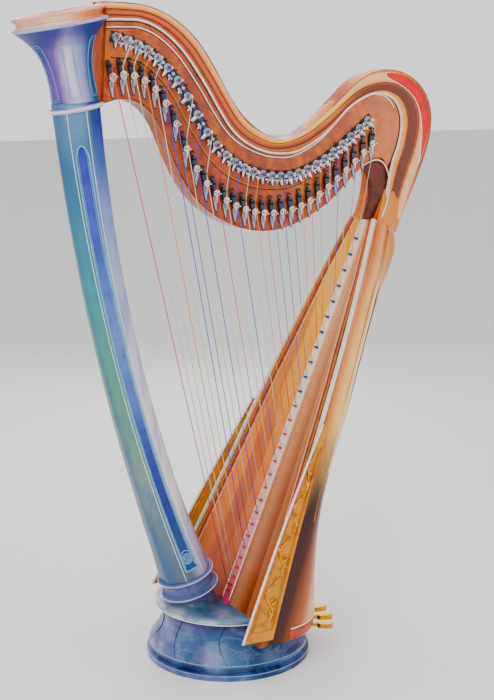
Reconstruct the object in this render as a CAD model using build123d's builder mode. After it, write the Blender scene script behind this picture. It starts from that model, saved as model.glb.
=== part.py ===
"""Concert harp: single-action pedal harp, 28 strings (four octaves of seven notes).

Frame: origin at the centre of the base's underside, on the floor. +Z is up, +X runs from the
column towards the player, and -Y is the side of the neck that carries the strings. Millimetres.
"""
from build123d import *
import math
import os

# ------------------------------------------------------------------ driving dimensions
# strings
string_count = 28
notes = ("d", "c", "b", "e", "f", "g", "a")
string_y = 58.0
bass_string_radius = 0.9
treble_string_radius = 0.45

# base
base_flange_radius = 230.0
base_flange_height = 16.0
base_groove_radius = 217.0
base_ledge_radius = 224.0
base_waist_radius = 184.0
base_height = 148.0
base_floor = 14.0
base_wall = 12.0
plate_radius = 205.0
plate_thickness = 12.0
body_gap = 3.0

# pedals
pedal_angles = (-39.0, -26.0, -13.0, 6.0, 19.0, 32.0, 45.0)
pedal_hinge_radius = 95.0
pedal_hinge_height = 85.0
pedal_reach = 300.0
pedal_width = 8.0
pedal_depth = 9.0
pedal_pin_radius = 4.0
running_clearance = 0.05
side_clearance = 0.4
cheek_thickness = 3.5
cheek_radius = 9.0
frame_ring_outer = 117.0
frame_ring_inner = 69.0
frame_ring_height = 8.0
barrel_wall = 4.5
pad_drop = 6.0
pad_height = 13.0
pad_rounding = 2.0
pad_length = 45.0
pad_width = 26.0
slot_width = 15.0
slot_low = 54.0
slot_high = 97.0

# column and its socket
column_foot = (-138.0, 258.0)
column_middle = (-330.0, 890.0)
column_head = (-432.0, 1532.0)
column_radii = (
    (0.0, 73.0), (0.07, 66.0), (0.2, 60.5), (0.45, 57.5), (0.7, 57.5), (0.88, 61.0), (1.0, 64.0),
)
column_bore = 44.0
socket_tilt = 18.0
socket_ring_radius = 78.0
socket_waist_radius = 68.0
socket_foot_radius = 60.0
socket_depth = 130.0

# pedal rods
rod_radius = 2.5
rod_spacing = 7.0
rod_offset = 15.0
rod_low = 112.0
rod_high = 1496.0

# capital
capital_foot = (-429.0, 1518.0)
capital_tilt = 10.8
capital_height = 242.0
capital_ring_radius = 66.0
capital_waist_radius = 57.0
capital_lip_radius = 117.0

# neck
neck_half_thickness = 30.0
plate_skin = 8.0
nut_height = 9.0
disc_gap = 0.5
disc_thickness = 5.0
disc_radius = 9.0
prong_radius = 1.6
prong_spread = 6.0
prong_length = 11.5
prong_lead = 22.0
blade_length = 30.0
spindle_radius = 3.0
spindle_length = 34.0
bridge_pin_radius = 2.2
bridge_pin_rise = 25.0
pin_radius = 3.4
pin_bore_clearance = 0.05
square_width = 5.0
square_length = 22.0
coil_height = 1.6
string_clearance = 0.7
shoulder_blend = 130.0
first_left_swing = 18
fork_first_x = -353.0
fork_pitch = 29.4
pin_first_x = -337.0
pin_pitch = 28.4

# soundbox: distance along the soundboard, half width, depth behind the soundboard
body_foot = (-26.0, 157.0)
body_tilt = 24.7
body_length = 1150.0
body_stations = (
    (-140.0, 272.0, 325.0),
    (0.0, 250.0, 272.0),
    (110.0, 236.0, 226.0),
    (240.0, 217.0, 168.0),
    (380.0, 198.0, 130.0),
    (670.0, 160.0, 115.0),
    (970.0, 105.0, 109.0),
    (1150.0, 62.0, 97.0),
)
shell_wall = 8.0
skirt_height = 103.0
cavity_floor = 176.0
side_share = 0.3
soundboard_thickness = 8.0
sound_holes = ((260.0, 100.0, 120.0), (450.0, 84.0, 110.0), (640.0, 66.0, 100.0), (830.0, 48.0, 90.0))
hoop_stations = (350.0, 545.0, 735.0)
hoop_thickness = 12.0
hoop_depth = 20.0
rib_width = 36.0
rib_thickness = 6.0
rib_low_offset = 50.0
rib_high_offset = 18.0
first_string_station = 34.0
last_string_station = 1085.0
foot_crowding = 1.25
peg_radius = 4.0
peg_collar = 3.0
peg_head_length = 15.0
peg_head_width = 6.0
peg_head_height = 4.0
string_start = 12.0
bend_fullness = 1.2
moulding_width = 11.0
moulding_height = 6.0
plaque_thickness = 12.0
plaque_width = 107.5
plaque_tip = 6.0
plaque_tail = 90.0
plaque_length = 560.0

# ------------------------------------------------------------------ shared geometry
base_top = base_height + plate_thickness
lean = math.radians(body_tilt)
body_up = Vector(math.sin(lean), 0, math.cos(lean))
body_back = Vector(math.cos(lean), 0, -math.sin(lean))
body_origin = Vector(body_foot[0], 0, body_foot[1])

rib_front = soundboard_thickness + rib_thickness
front_y = neck_half_thickness + plate_skin
nut_y = front_y + nut_height
disc_back_y = nut_y + disc_gap
disc_front_y = disc_back_y + disc_thickness

os.makedirs("parts", exist_ok=True)


def save(builder, name):
    """Label a finished piece and write its STEP file."""
    builder.part.label = name
    export_step(builder.part, f"parts/{name}.step")


def body_plane(station):
    """Plane across the soundbox: local x towards the string side, local y towards the back."""
    return Plane(origin=body_origin + body_up * station, x_dir=(0, -1, 0), z_dir=body_up)


def board_plane(depth):
    """Plane along the soundboard: local x towards the string side, local y up the board."""
    return Plane(origin=body_origin + body_back * depth, x_dir=(0, -1, 0), z_dir=body_back * -1)


def body_section(half_width, depth, front):
    """The soundbox's section: straight sides, then a half ellipse behind them."""
    side = depth * side_share
    with BuildSketch() as section:
        with BuildLine():
            EllipticalCenterArc((0, side), half_width, depth - side, start_angle=0, arc_size=180)
            Polyline((-half_width, side), (-half_width, front), (half_width, front), (half_width, side))
        make_face()
    return section.sketch


def half_width_at(place):
    """Half width of the soundbox at a distance along the soundboard."""
    for low, high in zip(body_stations, body_stations[1:]):
        if place <= high[0]:
            share = (place - low[0]) / (high[0] - low[0])
            return low[1] + share * (high[1] - low[1])
    return body_stations[-1][1]


def height_on(line, x):
    """Height of a left-to-right line at a given x."""
    low = 0.0
    high = 1.0
    for _ in range(40):
        middle = (low + high) / 2
        if (line @ middle).X < x:
            low = middle
        else:
            high = middle
    return (line @ low).Z


def turned(direction, degrees):
    """An (x, z) direction turned about +Y."""
    angle = math.radians(degrees)
    x = direction[0] * math.cos(angle) + direction[1] * math.sin(angle)
    z = -direction[0] * math.sin(angle) + direction[1] * math.cos(angle)
    return (x, z)


# ------------------------------------------------------------------ where each string runs
with BuildLine(Plane.XZ) as fork_row:
    Spline(
        (-372, 1592), (-292, 1601), (-236, 1569), (-185, 1498), (-140, 1403), (-84, 1322),
        (-23, 1276), (57, 1246), (146, 1241), (213, 1258), (288, 1299), (365, 1356), (462, 1432),
    )
with BuildLine(Plane.XZ) as pin_row:
    Spline(
        (-360, 1702), (-271, 1676), (-212, 1637), (-161, 1583), (-115, 1512), (-71, 1445),
        (-11, 1388), (66, 1350), (148, 1337), (212, 1347), (284, 1378), (366, 1433), (450, 1496),
    )


def rib_place(index):
    """Where a string meets the rib: offset towards the string side, and station up the board.

    The feet stand closer together at the bass end, so that the upper strings hang nearly upright.
    """
    share = (index / (string_count - 1)) ** foot_crowding
    station = first_string_station + share * (last_string_station - first_string_station)
    offset = rib_low_offset + station / body_length * (rib_high_offset - rib_low_offset)
    return offset, station


def string_run(index):
    """Tuning pin, fork centre and foot of one string, and its upward direction."""
    fork_x = fork_first_x + index * fork_pitch
    pin_x = pin_first_x + index * pin_pitch
    fork = Vector(fork_x, -string_y, height_on(fork_row.line, fork_x))
    pin = Vector(pin_x, -string_y, height_on(pin_row.line, pin_x))
    foot = Vector(*board_plane(-rib_front).from_local_coords((*rib_place(index), 0)))
    up = (fork - foot).normalized()
    return pin, fork, foot, up


runs = [string_run(index) for index in range(string_count)]
pin_places = [(pin.X, pin.Z) for pin, fork, foot, up in runs]
fork_places = [(fork.X, fork.Z) for pin, fork, foot, up in runs]
bridges = [fork + up * bridge_pin_rise for pin, fork, foot, up in runs]

# ------------------------------------------------------------------ base
with BuildPart() as base_shell:
    with BuildSketch(Plane.XZ):
        with BuildLine():
            Polyline(
                (0, 0), (base_flange_radius, 0), (base_flange_radius, base_flange_height),
                (base_groove_radius, base_flange_height + 5), (base_groove_radius, base_flange_height + 12),
                (base_ledge_radius, base_flange_height + 16), (base_ledge_radius, base_flange_height + 26),
            )
            Spline(
                (base_ledge_radius, base_flange_height + 26), (base_waist_radius + 14, 84),
                (base_waist_radius, 122), (base_waist_radius + 6, base_height),
            )
            Polyline(
                (base_waist_radius + 6, base_height), (base_waist_radius - base_wall, base_height),
                (base_waist_radius - base_wall, base_floor), (0, base_floor), (0, 0),
            )
        make_face()
    revolve(axis=Axis.Z)
    slot_height = slot_high - slot_low
    for angle in pedal_angles:
        slot_plane = Plane.XY.rotated((0, 0, angle)).offset(slot_low)
        with BuildSketch(slot_plane):
            with Locations((base_ledge_radius, 0)):
                Rectangle(base_ledge_radius, slot_width)
        extrude(amount=slot_height, mode=Mode.SUBTRACT)
save(base_shell, "base_shell")

rod_lean = math.atan2(column_foot[0] - column_head[0], column_head[1] - column_foot[1])
rod_up = Vector(-math.sin(rod_lean), 0, math.cos(rod_lean))
rod_out = Vector(-math.cos(rod_lean), 0, -math.sin(rod_lean))
rod_line = Vector(column_foot[0], 0, column_foot[1]) + rod_out * rod_offset


def rod_point(height):
    """Point on the rods' middle line at a height."""
    return rod_line + rod_up * ((height - rod_line.Z) / rod_up.Z)


rod_hole_length = rod_spacing * (len(notes) - 1)
with BuildPart() as base_plate:
    with BuildSketch(Plane.XY.offset(base_height)):
        Circle(plate_radius)
    extrude(amount=plate_thickness)
    fillet(base_plate.edges().filter_by(GeomType.CIRCLE), radius=3)
    with BuildSketch(Plane.XY.offset(base_height)):
        with Locations((rod_point(base_height + plate_thickness / 2).X, 0)):
            SlotCenterToCenter(rod_hole_length, 20, rotation=90)
    extrude(amount=plate_thickness, mode=Mode.SUBTRACT)
save(base_plate, "base_plate")

cheek_offset = pedal_width / 2 + side_clearance + cheek_thickness / 2
cheek_low = base_floor + frame_ring_height - 2
with BuildPart() as pedal_frame:
    with BuildSketch(Plane.XY.offset(base_floor)):
        Circle(frame_ring_outer)
        Circle(frame_ring_inner, mode=Mode.SUBTRACT)
    extrude(amount=frame_ring_height)
    for angle in pedal_angles:
        hinge_plane = Plane.XY.rotated((0, 0, angle))
        for side in (-1, 1):
            cheek_plane = Plane(
                origin=hinge_plane.from_local_coords((pedal_hinge_radius, side * cheek_offset, 0)),
                x_dir=hinge_plane.x_dir,
                z_dir=hinge_plane.y_dir,
            )
            with BuildSketch(cheek_plane):
                with Locations((0, -pedal_hinge_height)):
                    Circle(cheek_radius)
                with Locations((0, -(pedal_hinge_height + cheek_low) / 2)):
                    Rectangle(2 * cheek_radius, pedal_hinge_height - cheek_low)
            extrude(amount=cheek_thickness / 2, both=True)
        pin_plane = Plane(
            origin=hinge_plane.from_local_coords((pedal_hinge_radius, 0, pedal_hinge_height)),
            x_dir=hinge_plane.x_dir,
            z_dir=hinge_plane.y_dir,
        )
        with BuildSketch(pin_plane):
            Circle(pedal_pin_radius)
        extrude(amount=cheek_offset, both=True)
save(pedal_frame, "pedal_frame")

for note, angle in zip(notes, pedal_angles):
    hinge_plane = Plane.XY.rotated((0, 0, angle))
    barrel_plane = Plane(
        origin=hinge_plane.from_local_coords((pedal_hinge_radius, 0, pedal_hinge_height)),
        x_dir=hinge_plane.x_dir,
        z_dir=hinge_plane.y_dir,
    )
    arm_length = pedal_reach - pedal_hinge_radius - pad_length / 2
    with BuildPart() as pedal:
        with BuildSketch(barrel_plane):
            Circle(pedal_pin_radius + barrel_wall)
            with Locations((arm_length / 2, 0)):
                Rectangle(arm_length, pedal_depth)
            Circle(pedal_pin_radius + running_clearance, mode=Mode.SUBTRACT)
        extrude(amount=pedal_width / 2, both=True)
        with BuildSketch(hinge_plane.offset(pedal_hinge_height - pad_drop)):
            with Locations((pedal_reach - pad_length / 2, 0)):
                SlotOverall(pad_length, pad_width)
        extrude(amount=pad_height)
        fillet(pedal.faces().sort_by(Axis.Z)[-1].edges(), radius=pad_rounding)
    save(pedal, f"pedal_{note}")

# ------------------------------------------------------------------ column, socket and rods
socket_angle = math.radians(socket_tilt)
socket_plane = Plane(
    origin=(column_foot[0], 0, column_foot[1]),
    x_dir=(math.cos(socket_angle), 0, math.sin(socket_angle)),
    z_dir=(-math.sin(socket_angle), 0, math.cos(socket_angle)),
)
capital_angle = math.radians(capital_tilt)
capital_plane = Plane(
    origin=(capital_foot[0], 0, capital_foot[1]),
    x_dir=(math.cos(capital_angle), 0, math.sin(capital_angle)),
    z_dir=(-math.sin(capital_angle), 0, math.cos(capital_angle)),
)

with BuildLine(Plane.XZ) as column_arc:
    ThreePointArc(column_foot, column_middle, column_head)


def column_plane(share):
    """Plane across the column at a share of its length."""
    return Plane(origin=column_arc.line @ share, x_dir=(0, 1, 0), z_dir=column_arc.line % share)


with BuildPart() as column_outside:
    with BuildSketch(column_plane(0).offset(-40)):
        Circle(column_radii[0][1] + 5)
    for share, radius in column_radii:
        with BuildSketch(column_plane(share)):
            Circle(radius)
    loft()
with BuildPart() as column:
    add(column_outside.part)
    with BuildSketch(column_plane(0).offset(-40)):
        Circle(column_bore)
    for share, radius in column_radii:
        with BuildSketch(column_plane(share)):
            Circle(column_bore)
    loft(mode=Mode.SUBTRACT)
    split(bisect_by=socket_plane, keep=Keep.TOP)
    split(bisect_by=capital_plane, keep=Keep.BOTTOM)
save(column, "column")

with BuildPart() as column_socket:
    with BuildSketch(Plane(origin=socket_plane.origin, x_dir=socket_plane.x_dir, z_dir=(0, -1, 0))):
        with BuildLine():
            Polyline(
                (column_bore, 0), (socket_ring_radius - 3, 0), (socket_ring_radius, -3),
                (socket_ring_radius, -7), (socket_ring_radius - 4, -11), (socket_waist_radius, -13),
                (socket_waist_radius, -42), (socket_ring_radius, -46), (socket_ring_radius + 2, -50),
                (socket_ring_radius, -55), (socket_waist_radius, -58),
            )
            Polyline(
                (socket_waist_radius, -58), (socket_foot_radius, -66), (socket_foot_radius, -socket_depth),
                (column_bore, -socket_depth), (column_bore, 0),
            )
        make_face()
    revolve(axis=Axis(socket_plane.origin, socket_plane.z_dir))
    split(bisect_by=Plane.XY.offset(base_top), keep=Keep.TOP)
save(column_socket, "column_socket")

rod_middle = (len(notes) - 1) / 2
for position, note in enumerate(notes):
    rod_side = (position - rod_middle) * rod_spacing
    rod_start = rod_point(rod_low)
    with BuildPart() as rod:
        with BuildSketch(Plane(origin=(rod_start.X, rod_side, rod_start.Z), x_dir=(0, 1, 0), z_dir=rod_up)):
            Circle(rod_radius)
        extrude(amount=(rod_high - rod_low) / rod_up.Z)
    save(rod, f"pedal_rod_{note}")

# ------------------------------------------------------------------ capital
with BuildPart() as capital:
    with BuildSketch(Plane(origin=capital_plane.origin, x_dir=capital_plane.x_dir, z_dir=(0, -1, 0))):
        with BuildLine():
            Polyline(
                (0, 0), (capital_ring_radius, 0), (capital_ring_radius + 2, 5),
                (capital_ring_radius, 10), (capital_waist_radius + 2, 14),
            )
            Spline(
                (capital_waist_radius + 2, 14), (capital_waist_radius, 64), (capital_waist_radius + 3, 108),
                (capital_waist_radius + 19, 160), (capital_lip_radius - 12, 196), (capital_lip_radius, 208),
            )
            Polyline(
                (capital_lip_radius, 208), (capital_lip_radius, 213), (capital_lip_radius - 10, 219),
                (capital_lip_radius - 10, 226), (capital_lip_radius - 3, 233),
                (capital_lip_radius - 3, capital_height), (capital_lip_radius - 20, capital_height),
                (capital_lip_radius - 30, capital_height - 10), (0, capital_height - 10), (0, 0),
            )
        make_face()
    revolve(axis=Axis(capital_plane.origin, capital_plane.z_dir))
save(capital, "capital")

# ------------------------------------------------------------------ neck
shoulder_front = body_origin + body_up * body_length - body_back * (rib_front + 3)
shoulder_back = body_origin + body_up * body_length + body_back * body_stations[-1][2]
with BuildPart() as neck:
    with BuildSketch(Plane.XZ):
        with BuildLine():
            Spline(
                (-410, 1516), (-354, 1538), (-300, 1543), (-243, 1513), (-195, 1432), (-143, 1328),
                (-84, 1261), (-10, 1216), (80, 1191), (165, 1195), (247, 1224), (312, 1262), (378, 1320),
                (428, 1356),
            )
            Spline((428, 1356), (452, 1352), (462, 1325), (shoulder_front.X, shoulder_front.Z))
            Line((shoulder_front.X, shoulder_front.Z), (shoulder_back.X, shoulder_back.Z))
            Spline(
                (shoulder_back.X, shoulder_back.Z), (594, 1270), (645, 1388), (663, 1470), (648, 1540),
                (585, 1601), (508, 1620), (430, 1604), (341, 1536), (243, 1460), (163, 1433), (84, 1460),
                (22, 1513), (-38, 1603), (-97, 1687), (-169, 1745), (-240, 1773), (-320, 1781), (-410, 1783),
            )
            Line((-410, 1783), (-410, 1516))
        make_face()
    extrude(amount=neck_half_thickness, both=True)
    for station, narrow in ((body_length, 0.0), (body_length + shoulder_blend, 1.0)):
        half_width = body_stations[-1][1] - narrow * (body_stations[-1][1] - neck_half_thickness)
        with BuildSketch(body_plane(station)):
            add(body_section(half_width, body_stations[-1][2], 0))
    loft()
    add(column_outside.part, mode=Mode.SUBTRACT)
    add(capital.part, mode=Mode.SUBTRACT)
    with BuildSketch(capital_plane.offset(capital_height - 12)):
        Circle(capital_lip_radius - 3)
    extrude(amount=80, mode=Mode.SUBTRACT)
    bore_plane = Plane.XZ.offset(-neck_half_thickness)
    with BuildSketch(bore_plane):
        with Locations(*pin_places):
            Circle(pin_radius + pin_bore_clearance)
    extrude(amount=2 * neck_half_thickness, mode=Mode.SUBTRACT)
    with BuildSketch(Plane.XZ.offset(disc_back_y - spindle_length - 2)):
        with Locations(*fork_places):
            Circle(spindle_radius + running_clearance)
    extrude(amount=neck_half_thickness, mode=Mode.SUBTRACT)
save(neck, "neck")

with BuildPart() as action_plate:
    with BuildSketch(Plane.XZ.offset(neck_half_thickness)):
        with BuildLine():
            Spline(
                (-374, 1540), (-354, 1541), (-300, 1546), (-243, 1516), (-193, 1432), (-141, 1330),
                (-84, 1264), (-10, 1219), (80, 1194), (165, 1198), (247, 1227), (312, 1265), (378, 1323),
                (426, 1359),
            )
            Spline((426, 1359), (452, 1376), (484, 1374), (500, 1348))
            Spline((500, 1348), (530, 1400), (545, 1470), (520, 1535), (464, 1555))
            Spline(
                (464, 1555), (414, 1542), (364, 1513), (266, 1433), (202, 1403), (154, 1397), (100, 1403),
                (44, 1425), (-2, 1460), (-41, 1512), (-91, 1589), (-149, 1664), (-206, 1712), (-262, 1736),
                (-317, 1739), (-362, 1738),
            )
            Line((-362, 1738), (-374, 1540))
        make_face()
    extrude(amount=plate_skin)
    add(column_outside.part, mode=Mode.SUBTRACT)
    add(capital.part, mode=Mode.SUBTRACT)
    with BuildSketch(Plane.XZ.offset(neck_half_thickness)):
        with Locations(*pin_places):
            Circle(pin_radius + pin_bore_clearance)
        with Locations(*fork_places):
            Circle(spindle_radius + running_clearance)
    extrude(amount=plate_skin, mode=Mode.SUBTRACT)
save(action_plate, "action_plate")

with BuildPart() as nut_blocks:
    with BuildSketch(Plane.XZ.offset(front_y)):
        for (pin, fork, foot, up), bridge in zip(runs, bridges):
            turn = math.degrees(math.atan2(up.Z, up.X))
            with Locations(((fork.X + bridge.X) / 2, (fork.Z + bridge.Z) / 2)):
                SlotCenterToCenter(bridge_pin_rise, 2 * disc_radius - 2, rotation=turn)
        with Locations(*fork_places):
            Circle(spindle_radius + running_clearance, mode=Mode.SUBTRACT)
    extrude(amount=nut_height)
    with BuildSketch(Plane.XZ.offset(nut_y)):
        with Locations(*[(bridge.X - bridge_pin_radius - 1.2, bridge.Z) for bridge in bridges]):
            Circle(bridge_pin_radius)
    extrude(amount=string_y + 5 - nut_y)
save(nut_blocks, "nut_blocks")

# each layer: radius, where it starts and ends, measured towards the strings
pin_layers = (
    (pin_radius, -neck_half_thickness, string_y + 8),
    (8, front_y, front_y + 3),
    (6, front_y + 3, front_y + 9),
    (pin_radius + coil_height, string_y - 4, string_y + 2),
)
with BuildPart() as tuning_pins:
    for radius, low, high in pin_layers:
        with BuildSketch(Plane.XZ.offset(low)):
            with Locations(*pin_places):
                Circle(radius)
        extrude(amount=high - low)
    with BuildSketch(Plane.XZ.offset(-neck_half_thickness - square_length)):
        with Locations(*pin_places):
            Rectangle(square_width, square_width)
    extrude(amount=square_length)
save(tuning_pins, "tuning_pins")

for index, (pin, fork, foot, up) in enumerate(runs):
    swing = 1 if index < first_left_swing else -1
    across = turned(turned((up.X, up.Z), 90), swing * prong_lead)
    with BuildPart() as fork_disc:
        with BuildSketch(Plane.XZ.offset(disc_back_y - spindle_length)):
            with Locations((fork.X, fork.Z)):
                Circle(spindle_radius)
        extrude(amount=spindle_length)
        with BuildSketch(Plane.XZ.offset(disc_back_y)):
            with Locations((fork.X, fork.Z)):
                Circle(disc_radius)
        extrude(amount=disc_thickness)
        with BuildSketch(Plane.XZ.offset(disc_back_y + 1)):
            with BuildLine():
                Polyline(
                    (fork.X - 4, fork.Z), (fork.X + 4, fork.Z), (fork.X + 2.8, fork.Z - blade_length + 7),
                    (fork.X, fork.Z - blade_length), (fork.X - 2.8, fork.Z - blade_length + 7), close=True,
                )
            make_face()
        extrude(amount=disc_thickness - 2)
        with BuildSketch(Plane.XZ.offset(disc_front_y)):
            for side in (-prong_spread, prong_spread):
                with Locations((fork.X + across[0] * side, fork.Z + across[1] * side)):
                    Circle(prong_radius)
        extrude(amount=prong_length)
    save(fork_disc, f"fork_disc_{index + 1:02d}")

# ------------------------------------------------------------------ soundbox
with BuildPart() as body_outside:
    for station, half_width, depth in body_stations:
        with BuildSketch(body_plane(station)):
            add(body_section(half_width, depth, 0))
    loft()
with BuildPart() as body_cavity:
    for station, half_width, depth in body_stations[:-1]:
        with BuildSketch(body_plane(station)):
            add(body_section(half_width - shell_wall, depth - shell_wall, -1))
    last = body_stations[-1]
    with BuildSketch(body_plane(last[0] - 14)):
        add(body_section(last[1] - shell_wall + 3, last[2] - shell_wall, -1))
    loft()
    split(bisect_by=Plane.XY.offset(cavity_floor), keep=Keep.TOP)
with BuildPart() as soundbox_shell:
    add(body_outside.part)
    split(bisect_by=Plane.XY.offset(skirt_height), keep=Keep.TOP)
    add(body_cavity.part, mode=Mode.SUBTRACT)
    with BuildSketch(Plane.XY):
        Circle(plate_radius + body_gap)
    extrude(amount=base_top, mode=Mode.SUBTRACT)
    with BuildSketch(board_plane(60)):
        for station, width, length in sound_holes:
            with Locations((0, station)):
                Ellipse(width / 2, length / 2)
    extrude(amount=-300, mode=Mode.SUBTRACT)
save(soundbox_shell, "soundbox_shell")

with BuildPart() as hoop_space:
    for station, half_width, depth in body_stations:
        with BuildSketch(body_plane(station)):
            add(body_section(half_width - shell_wall - hoop_depth, depth - shell_wall - hoop_depth, -20))
    loft()
with BuildPart() as soundbox_hoops:
    for station in hoop_stations:
        with BuildSketch(body_plane(station)):
            with Locations((0, 100)):
                Rectangle(600, 200)
        extrude(amount=hoop_thickness)
    add(body_cavity.part, mode=Mode.INTERSECT)
    add(hoop_space.part, mode=Mode.SUBTRACT)
save(soundbox_hoops, "soundbox_hoops")

board_low = (base_top - body_foot[1]) / body_up.Z
board_outline = [(half_width, station) for station, half_width, depth in body_stations[1:]]
with BuildPart() as soundboard:
    with BuildSketch(board_plane(0)):
        with BuildLine():
            Polyline((-body_stations[0][1], body_stations[0][0]), (body_stations[0][1], body_stations[0][0]))
            Line((body_stations[0][1], body_stations[0][0]), board_outline[0])
            Spline(*board_outline)
            Line(board_outline[-1], (-board_outline[-1][0], board_outline[-1][1]))
            Spline(*[(-half_width, station) for half_width, station in reversed(board_outline)])
            Line((-board_outline[0][0], board_outline[0][1]), (-body_stations[0][1], body_stations[0][0]))
        make_face()
    extrude(amount=soundboard_thickness)
    split(bisect_by=Plane.XY.offset(base_top), keep=Keep.TOP)
save(soundboard, "soundboard")

with BuildPart() as string_rib:
    with BuildSketch(board_plane(-soundboard_thickness)):
        with BuildLine():
            Polyline(
                (rib_low_offset - rib_width / 2, -20), (rib_low_offset + rib_width / 2, -20),
                (rib_high_offset + rib_width / 3, body_length), (rib_high_offset - rib_width / 3, body_length),
                close=True,
            )
        make_face()
    extrude(amount=rib_thickness)
    split(bisect_by=Plane.XY.offset(base_top), keep=Keep.TOP)
save(string_rib, "string_rib")

peg_places = [rib_place(index) for index in range(string_count)]
with BuildPart() as string_pegs:
    with BuildSketch(board_plane(-rib_front)):
        with Locations(*peg_places):
            Circle(peg_radius)
    extrude(amount=peg_collar)
    with BuildSketch(board_plane(-rib_front - peg_collar)):
        with Locations(*peg_places):
            SlotOverall(peg_head_length, peg_head_width)
    extrude(amount=peg_head_height)
save(string_pegs, "string_pegs")

with BuildPart() as edge_mouldings:
    for side in (-1, 1):
        with BuildSketch(board_plane(-soundboard_thickness)):
            with BuildLine():
                outer = [(side * width, station) for width, station in board_outline]
                inner = [(side * (width - moulding_width), station) for width, station in board_outline]
                outer_foot = (side * body_stations[0][1], body_stations[0][0])
                inner_foot = (side * (body_stations[0][1] - moulding_width), body_stations[0][0])
                Line(outer_foot, outer[0])
                Spline(*outer)
                Line(outer[-1], inner[-1])
                Spline(*reversed(inner))
                Polyline(inner[0], inner_foot, outer_foot)
            make_face()
        extrude(amount=moulding_height)
    split(bisect_by=Plane.XY.offset(base_top), keep=Keep.TOP)
save(edge_mouldings, "edge_mouldings")

with BuildPart() as carved_plaques:
    for side in (-1, 1):
        low = body_stations[1]
        high_width = half_width_at(plaque_length)
        foot_point = body_plane(0).from_local_coords((side * (low[1] + 1), 0, 0))
        head_point = body_plane(plaque_length).from_local_coords((side * (high_width + 3), 0, 0))
        along = (Vector(*head_point) - Vector(*foot_point)).normalized()
        outward = along.cross(body_back) * -side
        with BuildSketch(Plane(origin=foot_point, x_dir=along, z_dir=outward)):
            with BuildLine():
                back = 1 if side < 0 else -1
                Polyline(
                    (-plaque_tail, -back * rib_front), (plaque_length, -back * rib_front),
                    (plaque_length, back * plaque_tip), (-plaque_tail, back * plaque_width), close=True,
                )
            make_face()
        extrude(amount=plaque_thickness)
    split(bisect_by=Plane.XY.offset(skirt_height), keep=Keep.TOP)
    add(body_outside.part, mode=Mode.SUBTRACT)
    add(soundboard.part, mode=Mode.SUBTRACT)
    add(edge_mouldings.part, mode=Mode.SUBTRACT)
save(carved_plaques, "carved_plaques")

# ------------------------------------------------------------------ strings
with BuildPart() as strings:
    for index, (pin, fork, foot, up) in enumerate(runs):
        share = index / (string_count - 1)
        radius = bass_string_radius + share * (treble_string_radius - bass_string_radius)
        bend = bridges[index]
        start = foot + up * string_start
        top = Vector(pin.X + pin_radius + coil_height + radius + string_clearance, pin.Y, pin.Z)
        for low, high in ((start, bend), (bend, top)):
            with BuildSketch(Plane(origin=low, z_dir=high - low)):
                Circle(radius)
            extrude(amount=(high - low).length)
        with Locations(bend):
            Sphere(radius * bend_fullness)
save(strings, "strings")
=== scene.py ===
import math

import bmesh
import bpy
from mathutils import Matrix, Vector


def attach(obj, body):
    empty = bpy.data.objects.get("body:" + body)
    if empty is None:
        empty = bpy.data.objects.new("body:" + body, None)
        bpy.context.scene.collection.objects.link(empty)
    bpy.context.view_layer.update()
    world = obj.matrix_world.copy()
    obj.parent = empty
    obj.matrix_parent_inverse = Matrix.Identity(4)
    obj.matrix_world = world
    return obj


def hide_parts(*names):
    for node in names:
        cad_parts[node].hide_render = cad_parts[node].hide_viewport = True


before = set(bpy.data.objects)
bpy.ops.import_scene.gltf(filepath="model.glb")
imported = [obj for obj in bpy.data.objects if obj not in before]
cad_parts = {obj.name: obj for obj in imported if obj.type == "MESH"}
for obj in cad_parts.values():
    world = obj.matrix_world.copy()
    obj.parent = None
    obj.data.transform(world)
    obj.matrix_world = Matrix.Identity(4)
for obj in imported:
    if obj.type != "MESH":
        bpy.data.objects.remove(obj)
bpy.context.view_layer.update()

bl_info = {
    "name": "Concert Harp Finish",
    "version": (1, 0, 0),
    "blender": (4, 5, 0),
    "location": "View3D > Sidebar > Harp",
    "description": "Builds the finished look of a concert harp around its fixed frame",
    "category": "Object",
}

# ------------------------------------------------------------------ the harp's own lines, metres
STRING_COUNT = 28
FORK_START = -0.353
FORK_PITCH = 0.0294
PIN_START = -0.337
PIN_PITCH = 0.0284
STRING_PLANE = 0.058
FACE_PLANE = 0.038
NECK_HALF = 0.030
FORK_FACE = 0.0525
BRIDGE_RISE = 0.025
PIN_COIL = 0.005

CREST_EDGE = (
    (-0.364, 1.738), (-0.317, 1.739), (-0.262, 1.736), (-0.206, 1.712), (-0.149, 1.664), (-0.091, 1.589),
    (-0.041, 1.512), (-0.002, 1.460), (0.044, 1.425), (0.100, 1.403), (0.154, 1.397), (0.202, 1.403),
    (0.266, 1.433), (0.315, 1.469), (0.364, 1.513), (0.414, 1.542), (0.464, 1.555), (0.512, 1.543),
    (0.541, 1.508), (0.548, 1.462), (0.538, 1.410), (0.520, 1.365), (0.505, 1.300), (0.492, 1.240),
)
CREST_TOP = (
    (-0.364, 1.782), (-0.320, 1.781), (-0.240, 1.773), (-0.169, 1.745), (-0.097, 1.687), (-0.038, 1.603),
    (0.022, 1.513), (0.050, 1.482), (0.084, 1.460), (0.122, 1.443), (0.163, 1.433), (0.203, 1.440),
    (0.243, 1.460), (0.292, 1.495), (0.341, 1.536), (0.430, 1.604), (0.508, 1.620), (0.585, 1.601),
    (0.648, 1.540), (0.663, 1.470), (0.645, 1.388), (0.622, 1.330), (0.594, 1.270), (0.562, 1.190),
)
FORK_ROW = (
    (-0.372, 1.592), (-0.292, 1.601), (-0.236, 1.569), (-0.185, 1.498), (-0.140, 1.403), (-0.084, 1.322),
    (-0.023, 1.276), (0.057, 1.246), (0.146, 1.241), (0.213, 1.258), (0.288, 1.299), (0.365, 1.356),
    (0.462, 1.432),
)
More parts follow.
